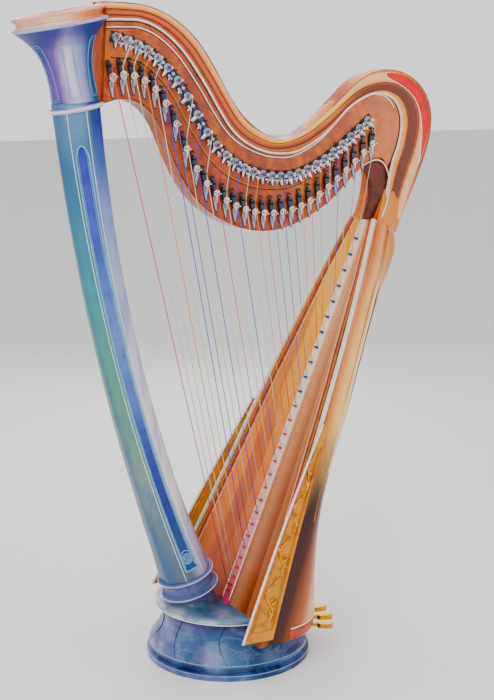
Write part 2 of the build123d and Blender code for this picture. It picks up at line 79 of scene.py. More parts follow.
PIN_ROW = (
    (-0.360, 1.702), (-0.271, 1.676), (-0.212, 1.637), (-0.161, 1.583), (-0.115, 1.512), (-0.071, 1.445),
    (-0.011, 1.388), (0.066, 1.350), (0.148, 1.337), (0.212, 1.347), (0.284, 1.378), (0.366, 1.433),
    (0.450, 1.496),
)
COLUMN_POINTS = ((-0.138, 0.258), (-0.330, 0.890), (-0.432, 1.532))
COLUMN_RADII = (
    (0.0, 0.073), (0.07, 0.066), (0.2, 0.0605), (0.45, 0.0575), (0.7, 0.0575), (0.88, 0.061), (1.0, 0.064))
CAPITAL_RADII = (
    (0.0, 0.066), (0.005, 0.068), (0.010, 0.066), (0.014, 0.059), (0.064, 0.057), (0.108, 0.060),
    (0.135, 0.0665), (0.160, 0.076), (0.180, 0.0895), (0.196, 0.105), (0.208, 0.117), (0.213, 0.117),
    (0.219, 0.107), (0.226, 0.107), (0.233, 0.114), (0.242, 0.114),
)
BASE_PROFILE = (
    (0.042, 0.224), (0.060, 0.2125), (0.084, 0.198), (0.105, 0.188), (0.122, 0.184), (0.148, 0.190))
CREST_INNER_SECTION = (
    (0.0, 0.0385), (0.03, 0.0405), (0.10, 0.0420), (0.17, 0.0405), (0.22, 0.0375), (0.30, 0.0370),
)
CREST_SECTION = (
    (0.42, 0.0385), (0.52, 0.0375), (0.57, 0.0345), (0.61, 0.0340), (0.70, 0.0355), (0.82, 0.0340),
    (0.92, 0.0275), (0.99, 0.0160), (1.01, 0.0),
)
CAPITAL_FOOT = Vector((-0.429, 0.0, 1.518))
CAPITAL_TILT = math.radians(10.8)
BODY_FOOT = Vector((-0.026, 0.0, 0.157))
BODY_TILT = math.radians(24.7)
BODY_LENGTH = 1.150
BODY_STATIONS = (
    (-0.140, 0.272, 0.325), (0.0, 0.250, 0.272), (0.110, 0.236, 0.226), (0.240, 0.217, 0.168),
    (0.380, 0.198, 0.130), (0.670, 0.160, 0.115), (0.970, 0.105, 0.109), (1.150, 0.062, 0.097),
)
SIDE_SHARE = 0.3
SOUND_HOLES = ((0.260, 0.100, 0.120), (0.450, 0.084, 0.110), (0.640, 0.066, 0.100), (0.830, 0.048, 0.090))
RIB_OFFSETS = (0.050, 0.018)
BOARD_FRONT = 0.014
STRING_STATIONS = (0.034, 1.085)
FOOT_CROWDING = 1.25
PANEL_TURNS = (math.radians(-1), math.radians(-24))
PANEL_HALF = math.radians(15.5)
PANEL_SHARES = (0.035, 0.925)
COLUMN_SIDES = 8
PANEL_ARCH = 0.028
COLUMN_FOOT_Z = 0.258
COLUMN_RISE = 1.274
SOCKET_TILT = math.radians(18)
SOCKET_FOOT = Vector((-0.106, 0.0, 0.160))
CREST_COUNT = 170
PLAQUE_STEPS = 40

CAMERA_PLACE = Vector((-1.85, -3.2043, 1.6))
CAMERA_AIM = Vector((0.011, -0.088, 0.880))
CAMERA_LENS = 70.93
STUDIO_STRENGTH = 0.85
BACKDROP_BOOST = 0.45

BODY_UP = Vector((math.sin(BODY_TILT), 0.0, math.cos(BODY_TILT)))
BODY_BACK = Vector((math.cos(BODY_TILT), 0.0, -math.sin(BODY_TILT)))


def smooth_line(points, count):
    """Evenly spaced points on a smooth line through a few given ones."""
    vectors = [Vector(point) for point in points]
    ends = [2 * vectors[0] - vectors[1]] + vectors + [2 * vectors[-1] - vectors[-2]]
    dense = []
    for before, low, high, after in zip(ends, ends[1:], ends[2:], ends[3:]):
        for step in range(12):
            t = step / 12
            dense.append(0.5 * (
                2 * low + (high - before) * t + (2 * before - 5 * low + 4 * high - after) * t * t
                + (3 * low - before - 3 * high + after) * t * t * t
            ))
    dense.append(vectors[-1])
    lengths = [0.0]
    for low, high in zip(dense, dense[1:]):
        lengths.append(lengths[-1] + (high - low).length)
    result = []
    place = 0
    for index in range(count):
        target = lengths[-1] * index / (count - 1)
        while place < len(lengths) - 2 and lengths[place + 1] < target:
            place += 1
        span = lengths[place + 1] - lengths[place] or 1.0
        result.append(dense[place].lerp(dense[place + 1], (target - lengths[place]) / span))
    return result


def between(table, at, column=1):
    """Straight-line reading of a table of rows that start with their place."""
    for low, high in zip(table, table[1:]):
        if at <= high[0]:
            share = max(0.0, (at - low[0]) / (high[0] - low[0]))
            return low[column] + share * (high[column] - low[column])
    return table[-1][column]


def row_height(line, x):
    """Height of a left-to-right line at a given x."""
    for low, high in zip(line, line[1:]):
        if x <= high[0]:
            return low[1] + (high[1] - low[1]) * (x - low[0]) / (high[0] - low[0])
    return line[-1][1]


def arc_through(low, middle, high):
    """Centre and radius of the circle through three (x, z) points."""
    (ax, az), (bx, bz), (cx, cz) = low, middle, high
    twice = 2 * (ax * (bz - cz) + bx * (cz - az) + cx * (az - bz))
    a, b, c = (x * x + z * z for x, z in (low, middle, high))
    x = (a * (bz - cz) + b * (cz - az) + c * (az - bz)) / twice
    z = (a * (cx - bx) + b * (ax - cx) + c * (bx - ax)) / twice
    return x, z, math.hypot(ax - x, az - z)


BOW_X, BOW_Z, BOW_RADIUS = arc_through(*COLUMN_POINTS)
BOW_START = math.asin((COLUMN_POINTS[0][1] - BOW_Z) / BOW_RADIUS)
BOW_END = math.asin((COLUMN_POINTS[2][1] - BOW_Z) / BOW_RADIUS)
COLUMN_LENGTH = BOW_RADIUS * (BOW_END - BOW_START)


def panel_turn(share):
    """Which way the column's long panel faces: nearly -Y at the foot, towards -X at the head."""
    return PANEL_TURNS[0] + max(0.0, min(1.0, share)) * (PANEL_TURNS[1] - PANEL_TURNS[0])


def column_point(share, turn, out=0.0):
    """Point on the eight-sided column; turn 0 faces -Y and a negative turn faces -X."""
    angle = BOW_START + share * (BOW_END - BOW_START)
    side = Vector((math.cos(angle), 0, -math.sin(angle)))
    centre = Vector((BOW_X, 0, BOW_Z)) - side * BOW_RADIUS
    step = 2 * math.pi / COLUMN_SIDES
    off = (turn - panel_turn(share) + step / 2) % step - step / 2
    flat = 0.3 + 0.7 * math.cos(step / 2) / math.cos(off)
    radius = between(COLUMN_RADII, share) * flat + out
    return centre + (side * math.sin(turn) - Vector((0, math.cos(turn), 0))) * radius


def column_place(point):
    """Share up the column and turn about it of a point."""
    angle = math.atan2(point.z - BOW_Z, BOW_X - point.x)
    share = (angle - BOW_START) / (BOW_END - BOW_START)
    side = Vector((math.cos(angle), 0, -math.sin(angle)))
    offset = point - (Vector((BOW_X, 0, BOW_Z)) - side * BOW_RADIUS)
    return share, math.atan2(offset.dot(side), -offset.y)


def in_panel(share, turn):
    """Whether a place is on the floor of the long panel, which ends in an arch."""
    across = ((turn + math.pi) % (2 * math.pi) - math.pi) / PANEL_HALF
    if abs(across) > 0.95:
        return False
    arch = PANEL_ARCH * (1 - math.sqrt(1 - across * across))
    return PANEL_SHARES[0] - 0.012 < share < PANEL_SHARES[1] - arch


def panel_outline(width):
    """Closed outline of the long panel as (share, turn) places."""
    low, high = PANEL_SHARES[0] - 0.013, PANEL_SHARES[1]
    outline = []
    for index in range(70):
        outline.append((low + (high - PANEL_ARCH - low) * index / 69, -width))
    for index in range(1, 20):
        angle = math.pi * index / 20
        outline.append((high - PANEL_ARCH + PANEL_ARCH * math.sin(angle), -width * math.cos(angle)))
    for index in range(70):
        outline.append((high - PANEL_ARCH - (high - PANEL_ARCH - low) * index / 69, width))
    for index in range(1, 6):
        outline.append((low, width * (1 - index / 3)))
    return [(share, panel_turn(share) + across * PANEL_HALF) for share, across in outline]


def capital_point(height, turn, out=0.0):
    """Point on the capital; turn 0 faces -Y and a negative turn faces -X."""
    side = Vector((math.cos(CAPITAL_TILT), 0, math.sin(CAPITAL_TILT)))
    axis = Vector((-math.sin(CAPITAL_TILT), 0, math.cos(CAPITAL_TILT)))
    radius = between(CAPITAL_RADII, height) + out
    return CAPITAL_FOOT + axis * height + (side * math.sin(turn) - Vector((0, math.cos(turn), 0))) * radius


def shell_outside(y, station, out=0.0):
    """Point on the back of the soundbox at a given y and station."""
    half = between(BODY_STATIONS, station)
    depth = between(BODY_STATIONS, station, 2)
    side = depth * SIDE_SHARE
    reach = side + (depth - side) * math.sqrt(max(0.0, 1 - (y / half) ** 2))
    point = BODY_FOOT + BODY_UP * station + BODY_BACK * (reach + out)
    point.y = y
    return point


def shell_point(turn, height, out=0.0):
    """Point on the soundbox at a given height; turn runs from the string side round the back."""
    station = 0.0
    for _ in range(30):
        half = between(BODY_STATIONS, station)
        depth = between(BODY_STATIONS, station, 2)
        side = depth * SIDE_SHARE
        reach = side + (depth - side) * math.sin(turn)
        station = (height - BODY_FOOT.z + reach * math.sin(BODY_TILT)) / math.cos(BODY_TILT)
    point = BODY_FOOT + BODY_UP * station + BODY_BACK * (reach + out * math.sin(turn))
    point.y = -(half + out) * math.cos(turn)
    return point


def string_points():
    """For each string: its tuning pin, bridge bend, fork centre and foot."""
    forks = smooth_line(FORK_ROW, 400)
    pins = smooth_line(PIN_ROW, 400)
    rows = []
    for index in range(STRING_COUNT):
        share = index / (STRING_COUNT - 1)
        fork_x = FORK_START + index * FORK_PITCH
        pin_x = PIN_START + index * PIN_PITCH
        fork = Vector((fork_x, -STRING_PLANE, row_height(forks, fork_x)))
        pin = Vector((pin_x, -STRING_PLANE, row_height(pins, pin_x)))
        station = STRING_STATIONS[0] + share ** FOOT_CROWDING * (STRING_STATIONS[1] - STRING_STATIONS[0])
        foot = BODY_FOOT + BODY_UP * station - BODY_BACK * BOARD_FRONT
        foot.y = -(RIB_OFFSETS[0] + station / BODY_LENGTH * (RIB_OFFSETS[1] - RIB_OFFSETS[0]))
        bend = fork + (fork - foot).normalized() * BRIDGE_RISE
        rows.append((pin, bend, fork, foot))
    return rows


STRINGS = string_points()


# ------------------------------------------------------------------ finishes
PIGMENT = 1.35
DEPTH = 0.92


class Value:
    """A socket of a finish, on which shader maths is written as an expression."""

    def __init__(self, finish, socket):
        self.finish = finish
        self.socket = socket

    def combined(self, operation, other, swapped=False):
        pair = (other, self) if swapped else (self, other)
        return self.finish.node("ShaderNodeMath", {"operation": operation}, *pair)

    def __add__(self, other):
        return self.combined("ADD", other)

    def __radd__(self, other):
        return self.combined("ADD", other, True)

    def __sub__(self, other):
        return self.combined("SUBTRACT", other)

    def __rsub__(self, other):
        return self.combined("SUBTRACT", other, True)

    def __mul__(self, other):
        return self.combined("MULTIPLY", other)

    def __rmul__(self, other):
        return self.combined("MULTIPLY", other, True)

    def __truediv__(self, other):
        return self.combined("DIVIDE", other)

    def __abs__(self):
        return self.finish.node("ShaderNodeMath", {"operation": "ABSOLUTE"}, self)


class Finish:
    """One material: a Principled surface whose colour, roughness and relief come from nodes."""

    def __init__(self, name, roughness=0.4, metallic=0.0, coat=0.0):
        self.material = bpy.data.materials.new(name)
        self.material.use_nodes = True
        self.tree = self.material.node_tree
        self.surface = self.tree.nodes["Principled BSDF"]
        self.surface.inputs["Roughness"].default_value = roughness
        self.surface.inputs["Metallic"].default_value = metallic
        self.surface.inputs["Coat Weight"].default_value = coat
        self.surface.inputs["Coat Roughness"].default_value = 0.15
        self.surface.inputs["Specular IOR Level"].default_value = 0.5 if metallic > 0.5 else 0.28
        self.place = self.node("ShaderNodeTexCoord", {}, output="Object")

    def node(self, kind, settings, *values, output=0, **named):
        """Add a node: settings first, then the values or links of its sockets."""
        made = self.tree.nodes.new(kind)
        for key, value in settings.items():
            if key == "stops":
                ramp = made.color_ramp
                while len(ramp.elements) < len(value):
                    ramp.elements.new(0.5)
                for element, (position, colour) in zip(ramp.elements, value):
                    element.position = position
                    element.color = (*colour, 1.0)
            else:
                setattr(made, key, value)
        pairs = list(enumerate(values))
        pairs += [(key.replace("_", " "), value) for key, value in named.items()]
        for key, value in pairs:
            if isinstance(value, Value):
                self.tree.links.new(value.socket, made.inputs[key])
            elif value is not None:
                made.inputs[key].default_value = value
        return Value(self, made.outputs[output])

    def axes(self):
        """The place on the harp as its x, y and z."""
        split = self.tree.nodes.new("ShaderNodeSeparateXYZ")
        self.tree.links.new(self.place.socket, split.inputs[0])
        return [Value(self, socket) for socket in split.outputs]

    def noise(self, scale, detail=4.0, stretch=(1, 1, 1), distortion=0.0, rotate=(0, 0, 0)):
        """Soft mottling, stretched along an axis for wood grain."""
        mapped = self.node("ShaderNodeMapping", {}, self.place, None, rotate, stretch)
        return self.node(
            "ShaderNodeTexNoise", {}, Vector=mapped, Scale=scale, Detail=detail, Distortion=distortion)

    def span(self, value, low, high):
        """0 below low, 1 above high, and a soft step between."""
        return self.node(
            "ShaderNodeMapRange", {"interpolation_type": "SMOOTHSTEP"}, value, low, high, 0.0, 1.0)

    def ramp(self, value, *stops):
        return self.node("ShaderNodeValToRGB", {"stops": stops}, value)

    def mix(self, mask, low, high):
        """Low colour where the mask is 0 and high colour where it is 1."""
        made = self.tree.nodes.new("ShaderNodeMix")
        made.data_type = "RGBA"
        for socket, value in zip((made.inputs[0], made.inputs[6], made.inputs[7]), (mask, low, high)):
            if isinstance(value, Value):
                self.tree.links.new(value.socket, socket)
            elif isinstance(value, (int, float)):
                socket.default_value = value
            else:
                socket.default_value = (*value, 1.0)
        return Value(self, made.outputs[2])

    def feed(self, name, value):
        self.tree.links.new(value.socket, self.surface.inputs[name])

    def relief(self, height, distance, strength=0.6):
        bumped = self.node("ShaderNodeBump", {}, Strength=strength, Distance=distance, Height=height)
        self.feed("Normal", bumped)


def hexed(code):
    """Linear colour from a display colour code."""
    channels = [int(code[i:i + 2], 16) / 255 for i in (0, 2, 4)]
    linear = [c / 12.92 if c <= 0.04045 else ((c + 0.055) / 1.055) ** 2.4 for c in channels]
    middle = sum(linear) / 3
    return tuple(max(0.001, middle + (c - middle) * PIGMENT) * DEPTH for c in linear)


def washed(finish, colour, amount=0.35, scale=9.0, dark=(0.02, 0.04, 0.12)):
    """Lay pooled pigment over a colour, as a hand-rubbed stain leaves it."""
    pools = finish.span(finish.noise(scale, 5.0, distortion=1.2), 0.42, 0.72)
    return finish.mix(pools * amount, colour, dark)


def wood_finish(name, light, middle, dark, along=(1, 1, 0.12), turn=(0, 0, 0), scale=26.0, roughness=0.32):
    """Varnished wood: broad figure, fine pores and a clear coat."""
    finish = Finish(name, roughness, coat=0.08)
    figure = finish.noise(scale * 0.22, 3.0, along, 0.8, turn)
    grain = finish.noise(scale * 4.0, 6.0, along, 0.3, turn)
    tone = figure * 0.65 + grain * 0.35
    colour = finish.ramp(tone, (0.30, dark), (0.50, middle), (0.68, light))
    finish.feed("Base Color", colour)
    finish.feed("Roughness", roughness + (grain - 0.5) * 0.25)
    finish.relief(grain, 0.0004, 0.25)
    return finish, colour


def column_finish():
    """Blue to sea-green lacquer down the left of the column, and blue to lilac-white painted highlight down its
    right; painted shade darkens both side edges.
    """
    finish = Finish("column_lacquer", 0.32, coat=0.08)
    x, y, z = finish.axes()
    rise = (z - COLUMN_FOOT_Z) / COLUMN_RISE
    axis_x = -0.138 - rise * 0.294 - rise * (1 - rise) * 0.190
    across = (x - axis_x) / 0.060
    wave = finish.noise(5.0, 3.0, (1, 1, 0.25)) - 0.5
    fine = finish.noise(30.0, 3.0, (1, 1, 0.15)) - 0.5
    height = rise + wave * 0.16
    left = finish.ramp(
        height, (0.02, hexed("596a76")), (0.20, hexed("81918e")), (0.42, hexed("648f7c")),
        (0.64, hexed("508e94")), (0.86, hexed("466f90")), (0.98, hexed("6f8aa6")))
    # painted highlight: the lilac-white ramp colours the right, lit side of the column
    right = finish.ramp(
        height, (0.02, hexed("b6b2cc")), (0.22, hexed("efedf4")), (0.50, hexed("d6d7e6")),
        (0.74, hexed("9aa6cc")), (0.92, hexed("4a5e9e")), (0.99, hexed("27347a")))
    colour = finish.mix(finish.span(across + wave * 0.5, -0.25, 0.35), left, right)
    # painted shade: colour darkens towards the column's left and right edges, where it turns from the light
    edge = finish.span(abs(across), 0.70, 1.05)
    colour = finish.mix(edge * 0.55, colour, hexed("3f5d86"))
    colour = finish.mix(finish.span(fine, 0.02, 0.20) * 0.35, colour, hexed("26507f"))
    finish.feed("Base Color", washed(finish, colour, 0.22, 7.0, hexed("34507a")))
    finish.relief(finish.noise(60.0, 4.0), 0.0006, 0.15)
    return finish.material


def panel_finish():
    """Violet field of the column's long panel, slate-blue at its middle and teal-navy at the foot."""
    finish = Finish("column_panel_lacquer", 0.36, coat=0.06)
    x, y, z = finish.axes()
    wave = finish.noise(14.0, 4.0, (1, 1, 0.3)) - 0.5
    colour = finish.ramp(
        (z - COLUMN_FOOT_Z) / COLUMN_RISE + wave * 0.22, (0.03, hexed("1c4f74")),
        (0.16, hexed("343a80")), (0.30, hexed("4a559c")), (0.52, hexed("7488bb")),
        (0.72, hexed("5a66b2")), (0.95, hexed("4a48ae")))
    finish.feed("Base Color", washed(finish, colour, 0.45, 12.0, hexed("23286e")))
    return finish.material


def plain_finish(name, code, roughness=0.3, coat=0.3, wash=0.2, metallic=0.0, dark="20242f"):
    """One painted or metal colour with light pooling and fine brush marks."""
    finish = Finish(name, roughness, metallic, coat)
    finish.feed("Base Color", washed(finish, hexed(code), wash, 18.0, hexed(dark)))
    marks = finish.noise(160.0, 3.0, (1, 1, 0.3))
    finish.feed("Roughness", roughness + (marks - 0.5) * 0.2)
    finish.relief(marks, 0.0003, 0.12)
    return finish.material


def capital_finish():
    """Violet bell, lilac highlight and teal shade, under a peach rim with a painted highlight on its left and
    painted shade in darker orange on its right.
    """
    finish = Finish("capital_lacquer", 0.30, coat=0.10)
    x, y, z = finish.axes()
    sine = math.sin(CAPITAL_TILT)
    cosine = math.cos(CAPITAL_TILT)
    height = (x - CAPITAL_FOOT.x) * -sine + (z - CAPITAL_FOOT.z) * cosine
    across = (x - CAPITAL_FOOT.x) * cosine + (z - CAPITAL_FOOT.z) * sine
    wave = (finish.noise(11.0, 4.0, (1, 1, 0.4)) - 0.5) * 0.045
    bell = finish.ramp(
        (across + wave) * 6.0 + 0.5, (0.06, hexed("2c2c78")), (0.20, hexed("74589a")),
        (0.36, hexed("d9cfe2")), (0.50, hexed("9c9cc8")), (0.66, hexed("2f5c86")),
        (0.90, hexed("1a2c66")))
    # painted highlight and shade across the rim: pale peach on the left, darker orange on the right
    rim = finish.ramp(
        (across + wave) * 4.2 + 0.5, (0.05, hexed("f3cbb8")), (0.35, hexed("fbe3c8")),
        (0.60, hexed("f2a878")), (0.95, hexed("d9733c")))
    lips = finish.span(abs(height - 0.210), 0.0045, 0.0030)
    crown = finish.span(height, 0.140, 0.196) * 0.75
    bell = finish.mix(crown, bell, hexed("26307a"))
    colour = finish.mix(finish.span(height, 0.2125, 0.2150), bell, rim)
    colour = finish.mix(lips, colour, hexed("b9b0dc"))
    colour = finish.mix(finish.span(height, 0.0118, 0.0105), colour, hexed("c9c2e2"))
    colour = finish.mix(finish.span(height, 0.2335, 0.2350), colour, hexed("e8b5a8"))
    finish.feed("Base Color", washed(finish, colour, 0.22, 16.0, hexed("343a7e")))
    finish.relief(finish.noise(70.0, 4.0), 0.0005, 0.12)
    return finish.material


def base_finish():
    """Navy lacquer with lilac and steel-blue clouds, a painted highlight lightening its left side, painted
    shade under the plate's rim and pale streaks of painted highlight.
    """
    finish = Finish("base_lacquer", 0.28, coat=0.12)
    x, y, z = finish.axes()
    cloud = finish.noise(7.0, 4.0, (1, 1, 1.6), 1.0)
    # painted highlight: the tone climbs towards -x, so the base is lilac-white on its left and navy on its
    # right
    tone = cloud * 0.55 + finish.span(0.0 - x, -0.22, 0.24) * 0.45
    colour = finish.ramp(
        tone, (0.30, hexed("0c1644")), (0.46, hexed("1f3c66")), (0.60, hexed("4a678c")),
        (0.72, hexed("7a80ac")), (0.86, hexed("dccfde")))
    # painted shade: the top of the body, under the plate's rim, darkens to navy
    shade = finish.span(z, 0.148, 0.092)
    colour = finish.mix(shade, hexed("0d1e5c"), colour)
    # painted highlight: thin pale streaks, like reflections on the lacquer
    streak = finish.span(abs(finish.noise(3.2, 4.0, (1, 1, 2.2), 2.0) - 0.5), 0.035, 0.010)
    colour = finish.mix(streak * 0.16, colour, hexed("aab2d2"))
    flange = finish.span(z, 0.040, 0.034)
    pale = finish.ramp(cloud, (0.35, hexed("1d2a58")), (0.50, hexed("455c84")), (0.68, hexed("8c98ba")))
    colour = finish.mix(flange * finish.span(z, 0.010, 0.020), colour, pale)
    finish.feed("Base Color", washed(finish, colour, 0.40, 10.0, hexed("0b1550")))
    finish.relief(finish.noise(50.0, 4.0), 0.0006, 0.12)
    return finish.material


def plate_finish():
    finish = Finish("base_plate_lacquer", 0.30, coat=0.12)
    x, y, z = finish.axes()
    cloud = finish.noise(9.0, 4.0)
    # painted highlight: the ramp climbs towards -x, so the plate is near white on its left
    colour = finish.ramp(
        cloud - x * 1.2 - 0.02, (0.34, hexed("1f3a54")), (0.52, hexed("4d6680")), (0.66, hexed("8796ac")),
        (0.84, hexed("dfe0ea")))
    # painted shadow: the plate darkens within 0.11 m of the column socket
    near_socket = finish.node(
        "ShaderNodeVectorMath", {"operation": "DISTANCE"}, finish.place, SOCKET_FOOT, output="Value")
    colour = finish.mix(finish.span(near_socket, 0.110, 0.060) * 0.8, colour, hexed("23455c"))
    finish.feed("Base Color", colour)
    return finish.material


def neck_finish():
    """Reddish varnished wood that warms to peach at the foot of the shoulder."""
    finish, colour = wood_finish(
        "neck_wood", hexed("d98c50"), hexed("a5501f"), hexed("5e2410"), (1, 1, 0.25), (0, 0.6, 0))
    x, y, z = finish.axes()
    foot = finish.span(x, 0.455, 0.500) * finish.span(z, 1.36, 1.24)
    finish.feed("Base Color", finish.mix(foot * 0.8, colour, hexed("d9925c")))
    return finish.material


def crest_finish():
    """Red-brown moulding whose outer roll carries a painted highlight, peach, and amber in the dip; darker and
    striped round the shoulder.
    """
    finish = Finish("crest_varnish", 0.34, coat=0.10)
    along = finish.node("ShaderNodeAttribute", {"attribute_name": "along"}, output="Fac")
    band = finish.node("ShaderNodeAttribute", {"attribute_name": "band"}, output="Fac")
    streak = finish.noise(22.0, 4.0, (0.35, 1, 1))
    grain = finish.noise(90.0, 5.0, (0.4, 1, 0.4))
    place = band + (streak - 0.5) * 0.09
    # painted highlight: the pale peach stops near band 0.72 to 0.88 lie on the rounded outer roll; in the dip
    # they turn amber
    reach = finish.ramp(
        place, (0.02, hexed("7c3218")), (0.12, hexed("b5592b")), (0.24, hexed("8a3c1c")),
        (0.40, hexed("c86f38")), (0.54, hexed("8d3f20")), (0.60, hexed("c9703f")),
        (0.72, hexed("eba56c")), (0.88, hexed("f6c79a")), (0.99, hexed("c4683c")))
    amber = finish.ramp(
        place, (0.02, hexed("8a3a18")), (0.14, hexed("c26a2c")), (0.26, hexed("7e3418")),
        (0.44, hexed("b9622c")), (0.56, hexed("e08f3e")), (0.72, hexed("f8b94a")),
        (0.90, hexed("fbcf7c")), (0.99, hexed("d98a3c")))
    shoulder = finish.ramp(
        place, (0.02, hexed("f0b083")), (0.18, hexed("d98856")), (0.27, hexed("5a241b")),
        (0.48, hexed("6b2f26")), (0.57, hexed("c07a52")), (0.66, hexed("eab084")),
        (0.86, hexed("f4c9a4")), (0.99, hexed("cf8a5e")))
    dip = finish.span(along, 0.30, 0.42) * (1.0 - finish.span(along, 0.56, 0.66))
    colour = finish.mix(dip, reach, amber)
    colour = finish.mix(finish.span(along, 0.56, 0.68), colour, shoulder)
    colour = finish.mix((grain - 0.5) * 0.6, colour, hexed("6a2a12"))
    finish.feed("Base Color", colour)
    finish.relief(grain, 0.0004, 0.2)
    return finish.material


def face_finish():
    """The neck's hardware board: warm brown, lighter towards the shoulder."""
    finish, colour = wood_finish(
        "face_board", hexed("d4854c"), hexed("a04c22"), hexed("54200f"), (0.5, 1, 0.5), (0, 0.5, 0), 30.0)
    x, y, z = finish.axes()
    glow = finish.span(x, 0.30, 0.50)
    warmer = finish.mix(glow * 0.6, colour, hexed("d98b6a"))
    finish.feed("Base Color", washed(finish, warmer, 0.30, 12.0, hexed("4a1f18")))
    return finish.material


def board_finish():
    """Soundboard: amber on the far side, salmon-brown beside the rib, redder at the foot."""
    finish = Finish("soundboard_varnish", 0.30, coat=0.08)
    x, y, z = finish.axes()
    grain = finish.noise(120.0, 5.0, (1, 1, 0.05), 0.2, (0, BODY_TILT, 0))
    broad = finish.noise(9.0, 3.0, (1, 1, 0.4))
    far = finish.ramp(
        z + (broad - 0.5) * 0.30, (0.18, hexed("a34a08")), (0.42, hexed("d97a0a")), (0.70, hexed("ea9a18")),
        (0.98, hexed("f2b43e")))
    near = finish.ramp(
        z + (broad - 0.5) * 0.20, (0.16, hexed("74351a")), (0.45, hexed("9c5a38")), (0.75, hexed("cb8b68")),
        (0.98, hexed("eab394")))
    station = (x - BODY_FOOT.x) * math.sin(BODY_TILT) + (z - BODY_FOOT.z) * math.cos(BODY_TILT)
    half = 0.252 - station * 0.105 - station * station * 0.05
    share = (0.0 - y) / half + (broad - 0.5) * 0.03
    stripes = finish.ramp(
        share, (0.36, hexed("e2a884")), (0.52, hexed("a8603c")), (0.60, hexed("6a2c14")),
        (0.635, hexed("c98660")), (0.72, hexed("b06a42")), (0.80, hexed("7a3a1c")))
    near = finish.mix(0.45, near, stripes)
    bands = finish.span(finish.noise(16.0, 2.0, (0.2, 1, 0.05)), 0.50, 0.62)
    far = finish.mix(bands * 0.55, far, hexed("9a4408"))
    colour = finish.mix(finish.span(y, -0.040, -0.036), near, far)
    colour = finish.mix((grain - 0.45) * 0.8, colour, hexed("5e260c"))
    finish.feed("Base Color", colour)
    finish.relief(grain, 0.0004, 0.2)
    return finish.material


def shell_finish():
    """Soundbox back: cream-yellow painted highlight near the board's edge, peach-brown, then dark brown painted
    shade behind; lower down, painted shadow almost black behind the plaques.
    """
    finish = Finish("shell_varnish", 0.30, coat=0.10)
    x, y, z = finish.axes()
    depth = (x - BODY_FOOT.x) * math.cos(BODY_TILT) - (z - BODY_FOOT.z) * math.sin(BODY_TILT)
    grain = finish.noise(90.0, 5.0, (1, 1, 0.06), 0.2, (0, BODY_TILT, 0))
    broad = finish.noise(6.0, 3.0, (1, 1, 0.5))
    tone = depth * 6.5 + (broad - 0.5) * 0.35
    # painted highlight: cream-yellow just behind the board's edge; the browns further round the back are
    # painted shade
    high = finish.ramp(
        tone, (0.02, hexed("d98a4c")), (0.12, hexed("ecb478")), (0.34, hexed("f4d49c")),
        (0.50, hexed("dd9c66")), (0.72, hexed("b5683e")), (0.95, hexed("8e4a2a")))
    crown = finish.ramp(
        tone + (grain - 0.5) * 0.1, (0.04, hexed("b0683c")), (0.20, hexed("e2a070")),
        (0.30, hexed("8e4a28")), (0.36, hexed("dd9866")), (0.60, hexed("c47c4c")),
        (0.90, hexed("9a5430")))
    high = finish.mix(finish.span(z + broad * 0.2, 0.95, 1.30), high, crown)
    # painted shadow: lower down, the shell turns almost black just behind the plaques
    low = finish.ramp(
        tone, (0.05, hexed("8a4a28")), (0.16, hexed("2a0e06")), (0.42, hexed("3c1509")),
        (0.74, hexed("a5603f")), (0.98, hexed("ddae90")))
    colour = finish.mix(finish.span(z + (broad - 0.5) * 0.2, 0.42, 0.70), low, high)
    colour = finish.mix((grain - 0.45) * 0.7, colour, hexed("4a1e10"))
    finish.feed("Base Color", colour)
    finish.relief(grain, 0.0004, 0.2)
    return finish.material


def rib_finish():
    finish = Finish("rib_enamel", 0.30, coat=0.10)
    x, y, z = finish.axes()
    wave = finish.noise(16.0, 3.0)
    colour = finish.ramp(
        z + (wave - 0.5) * 0.12, (0.18, hexed("c4566c")), (0.34, hexed("e39aa0")), (0.55, hexed("f3d6cc")),
        (0.95, hexed("f6e9d8")))
    finish.feed("Base Color", colour)
    return finish.material


def peg_finish():
    finish = Finish("peg_enamel", 0.22, coat=0.6)
    x, y, z = finish.axes()
    colour = finish.mix(finish.span(z, 0.66, 0.74), hexed("c01846"), hexed("1d2f5e"))
    finish.feed("Base Color", washed(finish, colour, 0.3, 60.0, hexed("3a0a1c")))
    return finish.material


def gilt_finish():
    """Gold leaf on carving, mottled from brown to bright gold."""
    finish = Finish("gilt_carving", 0.36, metallic=0.25, coat=0.08)
    grain = finish.noise(60.0, 5.0)
    colour = finish.ramp(grain, (0.30, hexed("a8641c")), (0.50, hexed("d3942f")), (0.70, hexed("eec074")))
    finish.feed("Base Color", colour)
    finish.relief(finish.noise(120.0, 4.0), 0.0008, 0.35)
    return finish.material


FINISHES = {}


